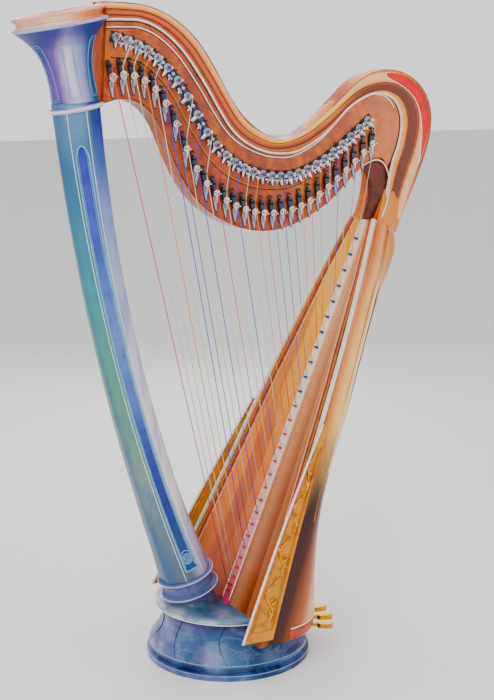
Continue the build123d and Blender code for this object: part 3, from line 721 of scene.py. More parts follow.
def finish_library():
    """Make every finish once, by name."""
    makers = {
        "column": column_finish, "panel": panel_finish, "capital": capital_finish, "base": base_finish,
        "plate": plate_finish, "neck": neck_finish, "crest": crest_finish, "face": face_finish,
        "board": board_finish, "shell": shell_finish, "rib": rib_finish, "peg": peg_finish,
        "gilt": gilt_finish,
    }
    for name, maker in makers.items():
        FINISHES[name] = maker()
    plain = {
        "socket": ("606a92", 0.34, 0.06, 0.55, 0.0, "2c3a5e"),
        "cream": ("f4e8d6", 0.34, 0.1, 0.15, 0.0, "c79a6a"),
        "silver": ("cfd0d2", 0.22, 0.0, 0.30, 0.9, "5a6070"),
        "black": ("151a2a", 0.30, 0.4, 0.30, 0.6, "05060c"),
        "nickel": ("b9bcc4", 0.24, 0.0, 0.35, 0.9, "3a3f50"),
        "brass": ("c99a45", 0.26, 0.0, 0.25, 0.9, "6a4416"),
        "iron": ("25272c", 0.55, 0.0, 0.30, 0.7, "0c0d10"),
        "aluminium": ("c2c5c9", 0.35, 0.0, 0.2, 0.9, "7a7f88"),
        "inlay": ("f6f3ee", 0.34, 0.1, 0.10, 0.0, "b9a48c"),
        "shadow": ("2a1420", 0.45, 0.1, 0.2, 0.0, "0c0508"),
        "flame": ("d8480a", 0.46, 0.0, 0.45, 0.0, "a02a04"),
        "lime": ("e6e05a", 0.36, 0.05, 0.2, 0.0, "a58a30"),
        "tan": ("b87440", 0.36, 0.08, 0.4, 0.0, "6a3212"),
        "sky": ("8cb4d2", 0.34, 0.08, 0.3, 0.0, "3d6a98"),
        "lilac": ("bdb6de", 0.32, 0.1, 0.25, 0.0, "6a6cb0"),
        "rose": ("f0b8a4", 0.34, 0.1, 0.3, 0.0, "b86a58"),
        "gold": ("c98e48", 0.40, 0.06, 0.5, 0.1, "7e4414"),
        "seam": ("12306e", 0.38, 0.05, 0.2, 0.0, "0b1550"),
        "band": ("b4531a", 0.34, 0.06, 0.45, 0.0, "5e1c08"),
        # painted shade: a dark brown laid in the pocket above the soundboard and in the board's cove
        "hollow": ("5a2412", 0.42, 0.04, 0.7, 0.0, "1e0805"),
        "blade": ("b4b2c2", 0.26, 0.05, 0.45, 0.55, "4a4c66"),
    }
    for name, (code, roughness, coat, wash, metallic, dark) in plain.items():
        FINISHES[name] = plain_finish(name + "_finish", code, roughness, coat, wash, metallic, dark)


# ------------------------------------------------------------------ making and placing pieces
def piece_from(name, mesh, finish, body="root", smooth=True):
    """Turn a bmesh into a finished piece that rides on a body."""
    bmesh.ops.remove_doubles(mesh, verts=mesh.verts, dist=1e-6)
    bmesh.ops.recalc_face_normals(mesh, faces=mesh.faces)
    data = bpy.data.meshes.new(name)
    mesh.to_mesh(data)
    mesh.free()
    data.materials.append(FINISHES[finish])
    for polygon in data.polygons:
        polygon.use_smooth = smooth
    made = bpy.data.objects.new(name, data)
    bpy.context.collection.objects.link(made)
    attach(made, body)
    return made


def joined(target, source):
    """Append one bmesh to another."""
    data = bpy.data.meshes.new("joining")
    source.to_mesh(data)
    source.free()
    target.from_mesh(data)
    bpy.data.meshes.remove(data)


def bridged(target, rows, closed=False):
    """Join rows of vertices into a skin; closed rows are rings."""
    edges = []
    for row in rows:
        ends = row[1:] + row[:1] if closed else row[1:]
        edges.append([target.edges.new(pair) for pair in zip(row, ends)])
    for low, high in zip(edges, edges[1:]):
        bmesh.ops.bridge_loops(target, edges=low + high)
    return edges


def swept(target, path, profile, side):
    """Sweep a closed profile along a path: profile x runs across, profile y along side."""
    rings = []
    for index, point in enumerate(path):
        ahead = path[min(index + 1, len(path) - 1)]
        behind = path[max(index - 1, 0)]
        along = (ahead - behind).normalized()
        across = side.cross(along).normalized()
        rings.append([target.verts.new(point + across * u + side * v) for u, v in profile])
    bridged(target, rings, closed=True)
    for ring in (rings[0], rings[-1]):
        target.faces.new(ring)


def round_profile(radius, count=8, flat=1.0):
    """Closed circle or flattened circle."""
    turns = [2 * math.pi * index / count for index in range(count)]
    return [(radius * math.cos(turn), radius * flat * math.sin(turn)) for turn in turns]


def tube(target, path, radius, count=8, closed=False):
    """A round rod along a path, or a ring where the path is closed."""
    total = len(path)
    side = None
    rings = []
    for index, point in enumerate(path):
        ahead = path[(index + 1) % total] if closed else path[min(index + 1, total - 1)]
        behind = path[index - 1] if closed else path[max(index - 1, 0)]
        along = (ahead - behind).normalized()
        if side is None:
            side = along.orthogonal().normalized()
        side = (side - along * side.dot(along)).normalized()
        other = along.cross(side)
        turns = [2 * math.pi * step / count for step in range(count)]
        ring = [
            target.verts.new(point + (side * math.cos(t) + other * math.sin(t)) * radius) for t in turns]
        rings.append(ring)
    edges = bridged(target, rings, closed=True)
    if closed:
        bmesh.ops.bridge_loops(target, edges=edges[-1] + edges[0])
    else:
        target.faces.new(rings[0])
        target.faces.new(rings[-1])


def circle_path(centre, axis, radius, count):
    """Points round a circle."""
    side = axis.orthogonal().normalized()
    other = axis.cross(side).normalized()
    turns = [2 * math.pi * index / count for index in range(count)]
    return [centre + (side * math.cos(turn) + other * math.sin(turn)) * radius for turn in turns]


def turned(profile, axis_point, axis, steps=96):
    """Spin an open profile of (radius, height) about an axis into a bmesh."""
    made = bmesh.new()
    side = axis.orthogonal().normalized()
    verts = [made.verts.new(axis_point + side * radius + axis * height) for radius, height in profile]
    edges = [made.edges.new(pair) for pair in zip(verts, verts[1:])]
    bmesh.ops.spin(
        made, geom=verts + edges, cent=axis_point, axis=axis, angle=2 * math.pi, steps=steps,
        use_merge=True)
    return made


def leaf_plate(plates, outlines, top, down, length, half):
    """A thin drop-shaped plate that hangs on the neck's face, and the dark line round it."""
    front = Vector((0, -1, 0))
    across = down.cross(front).normalized()
    rim = [(0.0, 0.0), (0.04, 0.55), (0.12, 0.90), (0.30, 1.0), (0.55, 0.82), (0.80, 0.52), (0.95, 0.28)]
    shape = rim + [(1.0, 0.0)] + [(share, -wide) for share, wide in rim[:0:-1]]
    points = [top + down * (share * length) + across * (wide * half) for share, wide in shape]
    low = [plates.verts.new(point) for point in points]
    crown = top + down * length * 0.4
    high = [plates.verts.new(point.lerp(crown, 0.16) + front * 0.0026) for point in points]
    plates.faces.new(high)
    for index in range(len(points)):
        after = (index + 1) % len(points)
        plates.faces.new((low[index], low[after], high[after], high[index]))
    plates.faces.new(low)
    tube(outlines, [point + front * 0.0006 for point in points], 0.0009, 6, closed=True)


def body_edge(side, station, out=0.0):
    """Point on the soundboard's edge, on the string side (-1) or the far side (1)."""
    point = BODY_FOOT + BODY_UP * station
    point.y = side * (between(BODY_STATIONS, station) + out)
    return point


def dress(node, finish):
    """Give a frame node its finish."""
    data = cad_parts[node].data
    data.materials.clear()
    data.materials.append(FINISHES[finish])


# ------------------------------------------------------------------ settings a user would change
class HarpSizes(bpy.types.PropertyGroup):
    """Sizes of the finished details."""

    bead: bpy.props.FloatProperty(
        name="Bead", description="Radius of the cream bead under the crest", default=0.0032, unit="LENGTH")
    inlay: bpy.props.FloatProperty(
        name="Inlay", description="Radius of the inlaid lines of the neck", default=0.0016, unit="LENGTH")
    recess: bpy.props.FloatProperty(
        name="Recess", description="Depth of the column's long panel", default=0.0045, unit="LENGTH")
    bass_string: bpy.props.FloatProperty(
        name="Bass string", description="Radius of the longest string", default=0.0013, unit="LENGTH")
    treble_string: bpy.props.FloatProperty(
        name="Treble string", description="Radius of the shortest string", default=0.0007, unit="LENGTH")


class HarpColours(bpy.types.PropertyGroup):
    """Colours of the stage."""

    floor: bpy.props.FloatVectorProperty(
        name="Floor", description="Colour of the floor", subtype="COLOR", size=3,
        default=(0.97, 0.97, 0.97))
    light: bpy.props.FloatVectorProperty(
        name="Light", description="Colour of the studio light", subtype="COLOR", size=3,
        default=(1.0, 0.98, 0.95))


def sizes():
    return bpy.context.scene.harp_sizes


# ------------------------------------------------------------------ operators
class HARP_OT_stage(bpy.types.Operator):
    """Set up the camera, the floor and the soft studio light"""

    bl_idname = "harp.stage"
    bl_label = "Stage"

    def execute(self, context):
        camera_data = bpy.data.cameras.new("camera")
        camera_data.lens = CAMERA_LENS
        camera_data.sensor_width = 36.0
        camera_data.clip_end = 50.0
        camera = bpy.data.objects.new("camera", camera_data)
        context.collection.objects.link(camera)
        camera.location = CAMERA_PLACE
        look = CAMERA_AIM - CAMERA_PLACE
        camera.rotation_euler = look.to_track_quat("-Z", "Y").to_euler()
        context.scene.camera = camera

        colours = context.scene.harp_colours
        floor_mesh = bmesh.new()
        bmesh.ops.create_grid(floor_mesh, x_segments=2, y_segments=2, size=30.0)
        data = bpy.data.meshes.new("floor")
        floor_mesh.to_mesh(data)
        floor_mesh.free()
        floor_finish = Finish("floor_paper", 0.85)
        cloud = floor_finish.noise(1.5, 3.0)
        floor_finish.feed(
            "Base Color", floor_finish.mix(cloud * 0.08, tuple(colours.floor), (0.80, 0.80, 0.80)))
        data.materials.append(floor_finish.material)
        floor = bpy.data.objects.new("floor", data)
        context.collection.objects.link(floor)

        world = bpy.data.worlds.new("studio")
        context.scene.world = world
        world.use_nodes = True
        background = world.node_tree.nodes["Background"]
        background.inputs["Color"].default_value = (1.0, 1.0, 1.0, 1.0)
        rays = world.node_tree.nodes.new("ShaderNodeLightPath")
        glow = world.node_tree.nodes.new("ShaderNodeMath")
        glow.operation = "MULTIPLY_ADD"
        glow.inputs[1].default_value = BACKDROP_BOOST
        glow.inputs[2].default_value = STUDIO_STRENGTH
        world.node_tree.links.new(rays.outputs["Is Camera Ray"], glow.inputs[0])
        world.node_tree.links.new(glow.outputs[0], background.inputs["Strength"])
        lamps = (
            ("key", (-2.6, -2.4, 3.4), 95.0, 2.2), ("fill", (2.6, -3.2, 1.8), 45.0, 2.6),
            ("top", (0.2, 0.6, 4.2), 50.0, 2.4), ("back", (1.5, 3.2, 2.4), 45.0, 2.0),
        )
        for name, place, power, width in lamps:
            lamp_data = bpy.data.lights.new(name, "AREA")
            lamp_data.energy = power
            lamp_data.size = width
            lamp_data.color = tuple(colours.light)
            lamp = bpy.data.objects.new(name, lamp_data)
            context.collection.objects.link(lamp)
            lamp.location = place
            towards = Vector((0, 0, 0.9)) - lamp.location
            lamp.rotation_euler = towards.to_track_quat("-Z", "Y").to_euler()
        return {"FINISHED"}


class HARP_OT_frame_finishes(bpy.types.Operator):
    """Give every node of the frame its own finish"""

    bl_idname = "harp.frame_finishes"
    bl_label = "Frame finishes"

    def execute(self, context):
        finish_library()
        finishes = {
            "base_shell": "base", "base_plate": "plate", "pedal_frame": "iron", "column": "column",
            "column_socket": "socket", "capital": "capital", "neck": "neck", "action_plate": "face",
            "nut_blocks": "black", "tuning_pins": "nickel", "soundboard": "board", "string_rib": "rib",
            "string_pegs": "peg", "soundbox_shell": "shell", "soundbox_hoops": "aluminium",
            "edge_mouldings": "cream", "carved_plaques": "gilt", "strings": "inlay",
        }
        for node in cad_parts:
            if node.startswith("fork_disc"):
                dress(node, "silver")
            elif node.startswith("pedal_rod"):
                dress(node, "brass")
            elif node.startswith("pedal_") and node != "pedal_frame":
                dress(node, "brass")
            else:
                dress(node, finishes[node])
        return {"FINISHED"}


class HARP_OT_strings(bpy.types.Operator):
    """String the harp: each string runs from its peg over the bridge pin to its tuning pin"""

    bl_idname = "harp.strings"
    bl_label = "Strings"

    def execute(self, context):
        tints = {
            "rose": "d41a5c", "amber": "e08c00", "azure": "0e44b4", "ember": "d42c10", "slate": "5c6880",
            "gut": "d6cdbf",
        }
        for name, code in tints.items():
            FINISHES["string_" + name] = plain_finish("string_" + name, code, 0.35, 0.3, 0.1)
        order = (
            "rose", "gut", "gut", "amber", "gut", "azure", "slate", "gut", "azure", "gut", "rose",
            "gut", "azure", "gut", "amber", "ember", "slate", "azure", "slate", "amber", "ember",
            "amber", "gut", "azure", "gut", "rose", "amber", "gut",
        )
        wide = sizes()
        made = {}
        for index, (pin, bend, fork, foot) in enumerate(STRINGS):
            share = index / (STRING_COUNT - 1)
            radius = wide.bass_string + share * (wide.treble_string - wide.bass_string)
            top = pin + Vector((PIN_COIL + radius + 0.0007, 0, 0))
            start = foot + (bend - foot).normalized() * 0.008
            group = made.setdefault(order[index], bmesh.new())
            for low, high in ((start, bend), (bend, top)):
                swept(group, [low, low.lerp(high, 0.5), high], round_profile(radius, 8), Vector((0, 1, 0)))
            turns = [2 * math.pi * step / 6 for step in range(7)]
            ring = [(0.0036 + 0.0011 * math.cos(turn), 0.0011 * math.sin(turn)) for turn in turns]
            coil = turned(ring, pin + Vector((0, -0.0025, 0)), Vector((0, 1, 0)), 16)
            joined(group, coil)
        first = None
        for name, group in made.items():
            piece = piece_from("strings_" + name, group, "string_" + name)
            first = first or piece
        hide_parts("strings")
        return {"FINISHED"}


class HARP_OT_column(bpy.types.Operator):
    """Carve the bowed column: eight soft flats, a long sunk panel, its edge lines and the rosette"""

    bl_idname = "harp.column"
    bl_label = "Column"

    def execute(self, context):
        wide = sizes()
        steps = [-1.0, -0.93, -0.6, -0.25, 0.0, 0.25, 0.6, 0.93, 1.0]
        relative = [step * PANEL_HALF for step in steps]
        rest = 2 * math.pi - 2 * PANEL_HALF
        relative += [PANEL_HALF + rest * index / 60 for index in range(1, 60)]
        low, high = PANEL_SHARES
        shares = sorted(
            [-0.005 + 1.009 * index / 110 for index in range(111)]
            + [low + 0.0015 * index for index in range(9)] + [high - 0.0025 * index for index in range(14)])
        column = bmesh.new()
        rows = []
        for share in shares:
            centre = panel_turn(share)
            row = []
            for turn in relative:
                sunk = wide.recess if in_panel(share, turn) else 0.0
                row.append(column.verts.new(column_point(share, centre + turn, -sunk)))
            rows.append(row)
        bridged(column, rows, closed=True)
        for row in (rows[0], rows[-1]):
            column.faces.new(row)
        piece = piece_from("column_body", column, "column")
        piece.data.materials.append(FINISHES["panel"])
        for polygon in piece.data.polygons:
            share, turn = column_place(polygon.center)
            if in_panel(share, turn - panel_turn(share)):
                polygon.material_index = 1
        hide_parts("column")

        edge = bmesh.new()
        outline = panel_outline(1.0)
        tube(edge, [column_point(share, turn, 0.0004) for share, turn in outline], 0.0022, closed=True)
        outline = panel_outline(0.80)
        tube(
            edge, [column_point(share, turn, -wide.recess + 0.0005) for share, turn in outline], 0.0011,
            closed=True)
        piece_from("column_panel_edge", edge, "sky")

        flutes = bmesh.new()
        for side in (-1, 1):
            path = []
            for index in range(90):
                share = 0.004 + 0.990 * index / 89
                turn = panel_turn(share) + side * math.pi / COLUMN_SIDES
                path.append(column_point(share, turn, 0.0002))
            tube(flutes, path, 0.0010, 6)
        piece_from("column_corner_lines", flutes, "inlay")

        rosette = bmesh.new()
        share = 0.047
        centre = panel_turn(share)
        for radius, thick in ((0.0145, 0.0017), (0.0095, 0.0015), (0.0045, 0.0014)):
            path = []
            for index in range(36):
                angle = 2 * math.pi * index / 36
                path.append(column_point(
                    share + radius * math.sin(angle) / COLUMN_LENGTH,
                    centre + radius * math.cos(angle) / 0.068, -wide.recess + 0.0008))
            tube(rosette, path, thick, closed=True)
        arch = []
        for index in range(30):
            angle = math.pi * index / 29
            arch.append(column_point(
                share + (0.006 + 0.0185 * math.sin(angle)) / COLUMN_LENGTH,
                centre + 0.0175 * math.cos(angle) / 0.068, -wide.recess + 0.0008))
        tube(rosette, arch, 0.0016)
        piece_from("column_rosette", rosette, "sky")
        return {"FINISHED"}


class HARP_OT_capital(bpy.types.Operator):
    """Draw the raised panel lines round the capital and the beads of its rim"""

    bl_idname = "harp.capital"
    bl_label = "Capital"

    def execute(self, context):
        lines = bmesh.new()
        for panel in range(6):
            centre = math.radians(-19 + 60 * panel)
            for shrink, thick in ((1.0, 0.0007), (0.78, 0.0005)):
                path = []
                corners = (
                    (0.030, -0.27), (0.162, -0.19), (0.172, -0.13), (0.172, 0.13), (0.162, 0.19),
                    (0.030, 0.27))
                for (low, left), (high, right) in zip(corners, corners[1:] + corners[:1]):
                    for step in range(10):
                        height = low + (high - low) * step / 10
                        height = 0.1 + (height - 0.1) * (1 - (1 - shrink) * 0.35)
                        turn = (left + (right - left) * step / 10) * shrink
                        path.append(capital_point(height, centre + turn, 0.0003))
                tube(lines, path, thick, 6, closed=True)
        piece_from("capital_panel_lines", lines, "sky")
        rims = (
            ("capital_collar_bead", 0.0065, 0.0012, 0.0022, "inlay"),
            ("capital_lip_bead", 0.2105, 0.0004, 0.0028, "lilac"),
            ("capital_rim_bead", 0.2375, 0.0002, 0.0026, "rose"),
            ("capital_cove_line", 0.2225, 0.0001, 0.0006, "tan"),
        )
        for name, height, out, thick, finish in rims:
            ring = bmesh.new()
            path = [capital_point(height, 2 * math.pi * index / 120, out) for index in range(120)]
            tube(ring, path, thick, 10, closed=True)
            piece_from(name, ring, finish)
        return {"FINISHED"}


class HARP_OT_base(bpy.types.Operator):
    """Finish the base: panel seams, pale edge lines and the flare round the column socket"""

    bl_idname = "harp.base"
    bl_label = "Base"

    def execute(self, context):
        seams = bmesh.new()
        for index in range(9):
            middle = math.radians(240 + 40 * index)
            path = []
            for step in range(25):
                share = step / 24
                height = 0.043 + 0.103 * share
                turn = middle + math.radians(7) * math.sin(math.pi * share) * (1 if index % 2 else -1)
                radius = between(BASE_PROFILE, height) + 0.0004
                path.append(Vector((radius * math.cos(turn), radius * math.sin(turn), height)))
            tube(seams, path, 0.0011, 6)
        piece_from("base_seams", seams, "seam")
        rings = (
            ("base_flange_line", 0.2287, 0.0145, 0.0016, "lilac"),
            ("base_ledge_line", 0.2228, 0.0405, 0.0016, "sky"),
            ("base_foot_line", 0.2287, 0.0030, 0.0012, "seam"),
            ("base_plate_line", 0.2030, 0.1500, 0.0024, "inlay"),
            ("base_neck_line", 0.1880, 0.1462, 0.0014, "seam"),
            ("base_plate_highlight_line", 0.1930, 0.1602, 0.0008, "sky"),
        )
        for name, radius, height, thick, finish in rings:
            ring = bmesh.new()
            turns = [2 * math.pi * index / 160 for index in range(160)]
            path = [Vector((radius * math.cos(turn), radius * math.sin(turn), height)) for turn in turns]
            # painted highlight: the pale inner line of the plate is kept only on its left, lit side
            if name == "base_plate_highlight_line":
                path = [
                    point for point in path[40:] if point.x < -0.045 and point.y < 0.1 or point.x < -0.06]
                tube(ring, path, thick, 8)
            else:
                tube(ring, path, thick, 8, closed=True)
            piece_from(name, ring, finish)

        foot = SOCKET_FOOT
        shape = [
            (0.0555, 0.046), (0.0585, 0.030), (0.0640, 0.016), (0.0740, 0.0065), (0.0880, 0.0020),
            (0.0990, 0.0002)]
        flare = turned(shape, foot, Vector((0, 0, 1)), 96)
        for vert in flare.verts:
            if vert.co.x > foot.x:
                vert.co.x = foot.x + (vert.co.x - foot.x) * 0.62
            vert.co.x -= (vert.co.z - foot.z) * 0.31
        piece_from("socket_flare", flare, "plate")
        for name, depth, radius, thick, finish in (
                ("socket_upper_bead", 0.0050, 0.0785, 0.0020, "lilac"),
                ("socket_lower_bead", 0.0505, 0.0800, 0.0022, "lilac"),
                ("socket_throat_line", 0.0125, 0.0700, 0.0012, "seam")):
            ring = bmesh.new()
            side = Vector((math.cos(SOCKET_TILT), 0, math.sin(SOCKET_TILT)))
            axis = Vector((-math.sin(SOCKET_TILT), 0, math.cos(SOCKET_TILT)))
            centre = Vector((COLUMN_POINTS[0][0], 0, COLUMN_POINTS[0][1])) - axis * depth
            path = []
            for index in range(120):
                turn = 2 * math.pi * index / 120
                path.append(centre + (side * math.cos(turn) + Vector((0, math.sin(turn), 0))) * radius)
            tube(ring, path, thick, 10, closed=True)
            piece_from(name, ring, finish)
        return {"FINISHED"}


class HARP_OT_crest(bpy.types.Operator):
    """Make the rounded crest of the neck, its cream bead and the inlaid lines on both faces"""

    bl_idname = "harp.crest"
    bl_label = "Neck crest"

    def execute(self, context):
        count = CREST_COUNT
        inner = smooth_line(CREST_EDGE, count)
        outer = smooth_line(CREST_TOP, count)
        crest = bmesh.new()
        along = crest.verts.layers.float.new("along")
        band = crest.verts.layers.float.new("band")
        shape = CREST_INNER_SECTION + CREST_SECTION
        section = [(share, -half) for share, half in shape]
        section += [(share, half) for share, half in shape[-2::-1]]
        rows = []
        for index, (low, high) in enumerate(zip(inner, outer)):
            row = []
            for share, y in section:
                point = low.lerp(high, share)
                vert = crest.verts.new((point.x, y, point.y))
                vert[along] = index / (count - 1)
                vert[band] = share
                row.append(vert)
            rows.append(row)
        bridged(crest, rows)
        for row in (rows[0], rows[-1]):
            crest.faces.new(row)
        piece_from("neck_crest", crest, "crest")

        wide = sizes()
        lines = (
            ("crest_bead", 0.0, wide.bead, 0.0395, "cream", 1.0),
            ("crest_shadow", 0.0055, 0.0014, 0.0385, "shadow", 1.0),
            ("inlay_upper", 0.019, wide.inlay, 0.0385, "inlay", 0.80),
            ("inlay_under", 0.0225, 0.0008, 0.0383, "shadow", 0.80),
        )
        for name, drop, radius, y, finish, reach in lines:
            line = bmesh.new()
            for side in (-1, 1):
                path = []
                for low, high in zip(inner, outer):
                    point = low + (low - high).normalized() * drop
                    away = y if side < 0 else NECK_HALF + y - FACE_PLANE
                    path.append(Vector((point.x, side * away, point.y)))
                tube(line, path[:int(count * reach)], radius, 8)
            piece_from(name, line, finish)
        for name, share, thick, y, finish in (
                ("crest_groove_line", 0.575, 0.0011, 0.0345, "shadow"),
                ("crest_outer_line", 0.90, 0.0009, 0.0296, "cream"),
                ("crest_inner_line", 0.225, 0.0011, 0.0377, "shadow")):
            line = bmesh.new()
            for side in (-1, 1):
                path = [low.lerp(high, share) for low, high in zip(inner, outer)]
                tube(line, [Vector((point.x, side * y, point.y)) for point in path], thick, 6)
            piece_from(name, line, finish)
        return {"FINISHED"}


class HARP_OT_shoulder(bpy.types.Operator):
    """Set the flame-red leaf into the shoulder, edge the pocket above the soundboard and lay a dark sheet of
    painted shade in it
    """

    bl_idname = "harp.shoulder"
    bl_label = "Shoulder"

    def execute(self, context):
        count = CREST_COUNT
        inner = smooth_line(CREST_EDGE, count)
        outer = smooth_line(CREST_TOP, count)
        first, last = int(count * 0.665), int(count * 0.885)
        for side, tag in ((-1, "left"), (1, "right")):
            leaf = bmesh.new()
            rows = []
            edge_low = []
            edge_high = []
            for index in range(first, last + 1):
                t = (index - first) / (last - first)
                swell = math.sin(math.pi * t ** 0.8) ** 0.6
                low_share = 0.90 - 0.30 * swell
                high_share = 0.90 + 0.02 * swell
                row = []
                for step in range(7):
                    share = low_share + (high_share - low_share) * step / 6
                    point = inner[index].lerp(outer[index], share)
                    crown = 0.0016 * math.sin(math.pi * step / 6) * swell
                    y = between(CREST_SECTION, share) + 0.0006 + crown
                    row.append(leaf.verts.new((point.x, side * y, point.y)))
                rows.append(row)
                edge_low.append(row[0].co.copy())
                edge_high.append(row[-1].co.copy())
            bridged(leaf, rows)
            bmesh.ops.solidify(leaf, geom=leaf.faces[:], thickness=0.0012)
            piece_from("shoulder_leaf_" + tag, leaf, "flame")
            rim = bmesh.new()
            tube(rim, edge_low + edge_high[::-1], 0.0016, 8, closed=True)
            piece_from("shoulder_leaf_rim_" + tag, rim, "inlay")
            vein = bmesh.new()
            lift = Vector((0, side * 0.0018, 0))
            middle = [low.lerp(high, 0.22) + lift for low, high in zip(edge_low, edge_high)]
            tube(vein, middle[6:-6], 0.0011, 6)
            piece_from("shoulder_leaf_vein_" + tag, vein, "lime")

        pocket = bmesh.new()
        shape = (
            (0.412, 1.352), (0.439, 1.365), (0.466, 1.370), (0.491, 1.358), (0.505, 1.327), (0.503, 1.285),
                 (0.490, 1.243), (0.470, 1.205))
        edge = smooth_line(shape, 50)
        path = [Vector((point.x, -0.0390 - max(0.0, 1.345 - point.y) * 0.13, point.y)) for point in edge]
        tube(pocket, path, 0.0020, 8)
        piece_from("pocket_edge", pocket, "cream")
        # painted shade: a thin dark sheet fills the pocket between the neck and the top of the soundboard
        hollow = bmesh.new()
        left = smooth_line(((0.416, 1.346), (0.432, 1.318), (0.437, 1.280), (0.428, 1.240), (0.418, 1.205)), 50)
        rows = []
        for near, far in zip(left, edge):
            row = []
            for step in range(5):
                point = near.lerp(far, step / 4)
                row.append(hollow.verts.new((point.x, -0.0386, point.y)))
            rows.append(row)
        bridged(hollow, rows)
        bmesh.ops.recalc_face_normals(hollow, faces=hollow.faces[:])
        bmesh.ops.solidify(hollow, geom=hollow.faces[:], thickness=0.0008)
        piece_from("pocket_shade_sheet", hollow, "hollow")
        return {"FINISHED"}


class HARP_OT_tuning_row(bpy.types.Operator):
    """Build the close row of clamps round the tuning pins, with their rings, drums and fins"""

    bl_idname = "harp.tuning_row"
    bl_label = "Tuning row"

    def execute(self, context):
        pins = smooth_line(PIN_ROW, 400)
        # painted shadow: a black plate along the row of tuning pins stands for the shade behind the hardware
        shadow_plates = bmesh.new()
        shadow_plate_path = []
        for index in range(90):
            x = -0.352 + 0.795 * index / 89
            shadow_plate_path.append(Vector((x, -FACE_PLANE - 0.0008, row_height(pins, x) - 0.002)))
        shadow_plate_section = [(-0.0145, -0.0012), (0.0145, -0.0012), (0.0125, 0.0012), (-0.0125, 0.0012)]
        swept(shadow_plates, shadow_plate_path, shadow_plate_section, Vector((0, -1, 0)))
        piece_from("tuning_shadow_plate", shadow_plates, "black")
        drums = bmesh.new()
        rings = bmesh.new()
        fins = bmesh.new()
        seats = bmesh.new()
        for index in range(2 * STRING_COUNT - 1):
            x = PIN_START + index * PIN_PITCH / 2
            centre = Vector((x, 0, row_height(pins, x)))
            ahead = Vector((x + 0.004, 0, row_height(pins, x + 0.004)))
            along = (ahead - centre).normalized()
            down = Vector((along.z, 0, -along.x))
            if down.z > 0:
                down = -down
            whole = index % 2 == 0
            reach = 0.0095 if whole else 0.0060
            front = Vector((0, -1, 0))
            face = centre + front * FACE_PLANE
            if whole:
                tube(rings, circle_path(face + front * 0.0030, front, reach, 20), 0.0019, 8, closed=True)
                tube(rings, circle_path(face + front * 0.0100, front, 0.0058, 16), 0.0012, 6, closed=True)
            else:
                shape = [(0.0, 0.0085), (0.0035, 0.0080), (0.0052, 0.0062), (0.0052, 0.0015), (0.0060, 0.0)]
                drum = turned([(r, h) for r, h in reversed(shape)], face + front * 0.0012, front, 16)
                joined(drums, drum)
                side = face + front * 0.0055
                shape = [
                    (0.0, -0.0085), (0.0034, -0.0080), (0.0040, -0.006), (0.0040, 0.006), (0.0034, 0.0080),
                    (0.0, 0.0085)]
                barrel = turned(shape, side + down * 0.0125, along, 12)
                joined(drums, barrel)
                tube(seats, circle_path(side - down * 0.0110, along, 0.0044, 12), 0.0011, 6, closed=True)
            top = face + front * 0.0045 + down * 0.0095
            length = 0.0165 if whole else 0.0115
            tip = top + down * length + along * 0.002
            width = along * 0.0036
            point_width = along * 0.0012
            blade = [top - width, top + width, tip + point_width, tip - point_width]
            low = [fins.verts.new(point) for point in blade]
            high = [fins.verts.new(point + front * 0.0022) for point in blade]
            fins.faces.new(low)
            fins.faces.new(high)
            for index_low in range(4):
                index_high = (index_low + 1) % 4
                fins.faces.new((low[index_low], low[index_high], high[index_high], high[index_low]))
        levers = bmesh.new()
        lever_edges = bmesh.new()
        for index in range(STRING_COUNT):
            x = PIN_START + index * PIN_PITCH
            centre = Vector((x, -FACE_PLANE - 0.0022, row_height(pins, x)))
            slope = Vector((0.008, 0, row_height(pins, x + 0.008) - row_height(pins, x))).normalized()
            down = (Vector((slope.z, 0, -slope.x)) + Vector((0, 0, -0.5))).normalized()
            if down.z > 0:
                down = -down
            leaf_plate(levers, lever_edges, centre - down * 0.013, down, 0.040, 0.0080)
        piece_from("tuning_levers", levers, "blade")
        piece_from("tuning_lever_edges", lever_edges, "black")
        piece_from("tuning_drums", drums, "silver")
        piece_from("tuning_rings", rings, "nickel")
        piece_from("tuning_fins", fins, "silver", smooth=False)
        piece_from("tuning_seats", seats, "black")

        forks = smooth_line(FORK_ROW, 400)
        rail = bmesh.new()
        shade = bmesh.new()
        path = []
        for index in range(120):
            x = -0.352 + 0.775 * index / 119
            lift = 0.38 + 0.10 * math.cos(math.pi * index / 119)
            height = row_height(pins, x) * (1 - lift) + row_height(forks, x) * lift
            path.append(Vector((x, -FACE_PLANE - 0.0008, height)))
        tube(rail, path, 0.0027, 8)
        tube(shade, [point + Vector((0.0, 0.0004, -0.0036)) for point in path], 0.0013, 6)
        piece_from("action_rail", rail, "tan")
        piece_from("action_rail_shade", shade, "shadow")
        return {"FINISHED"}


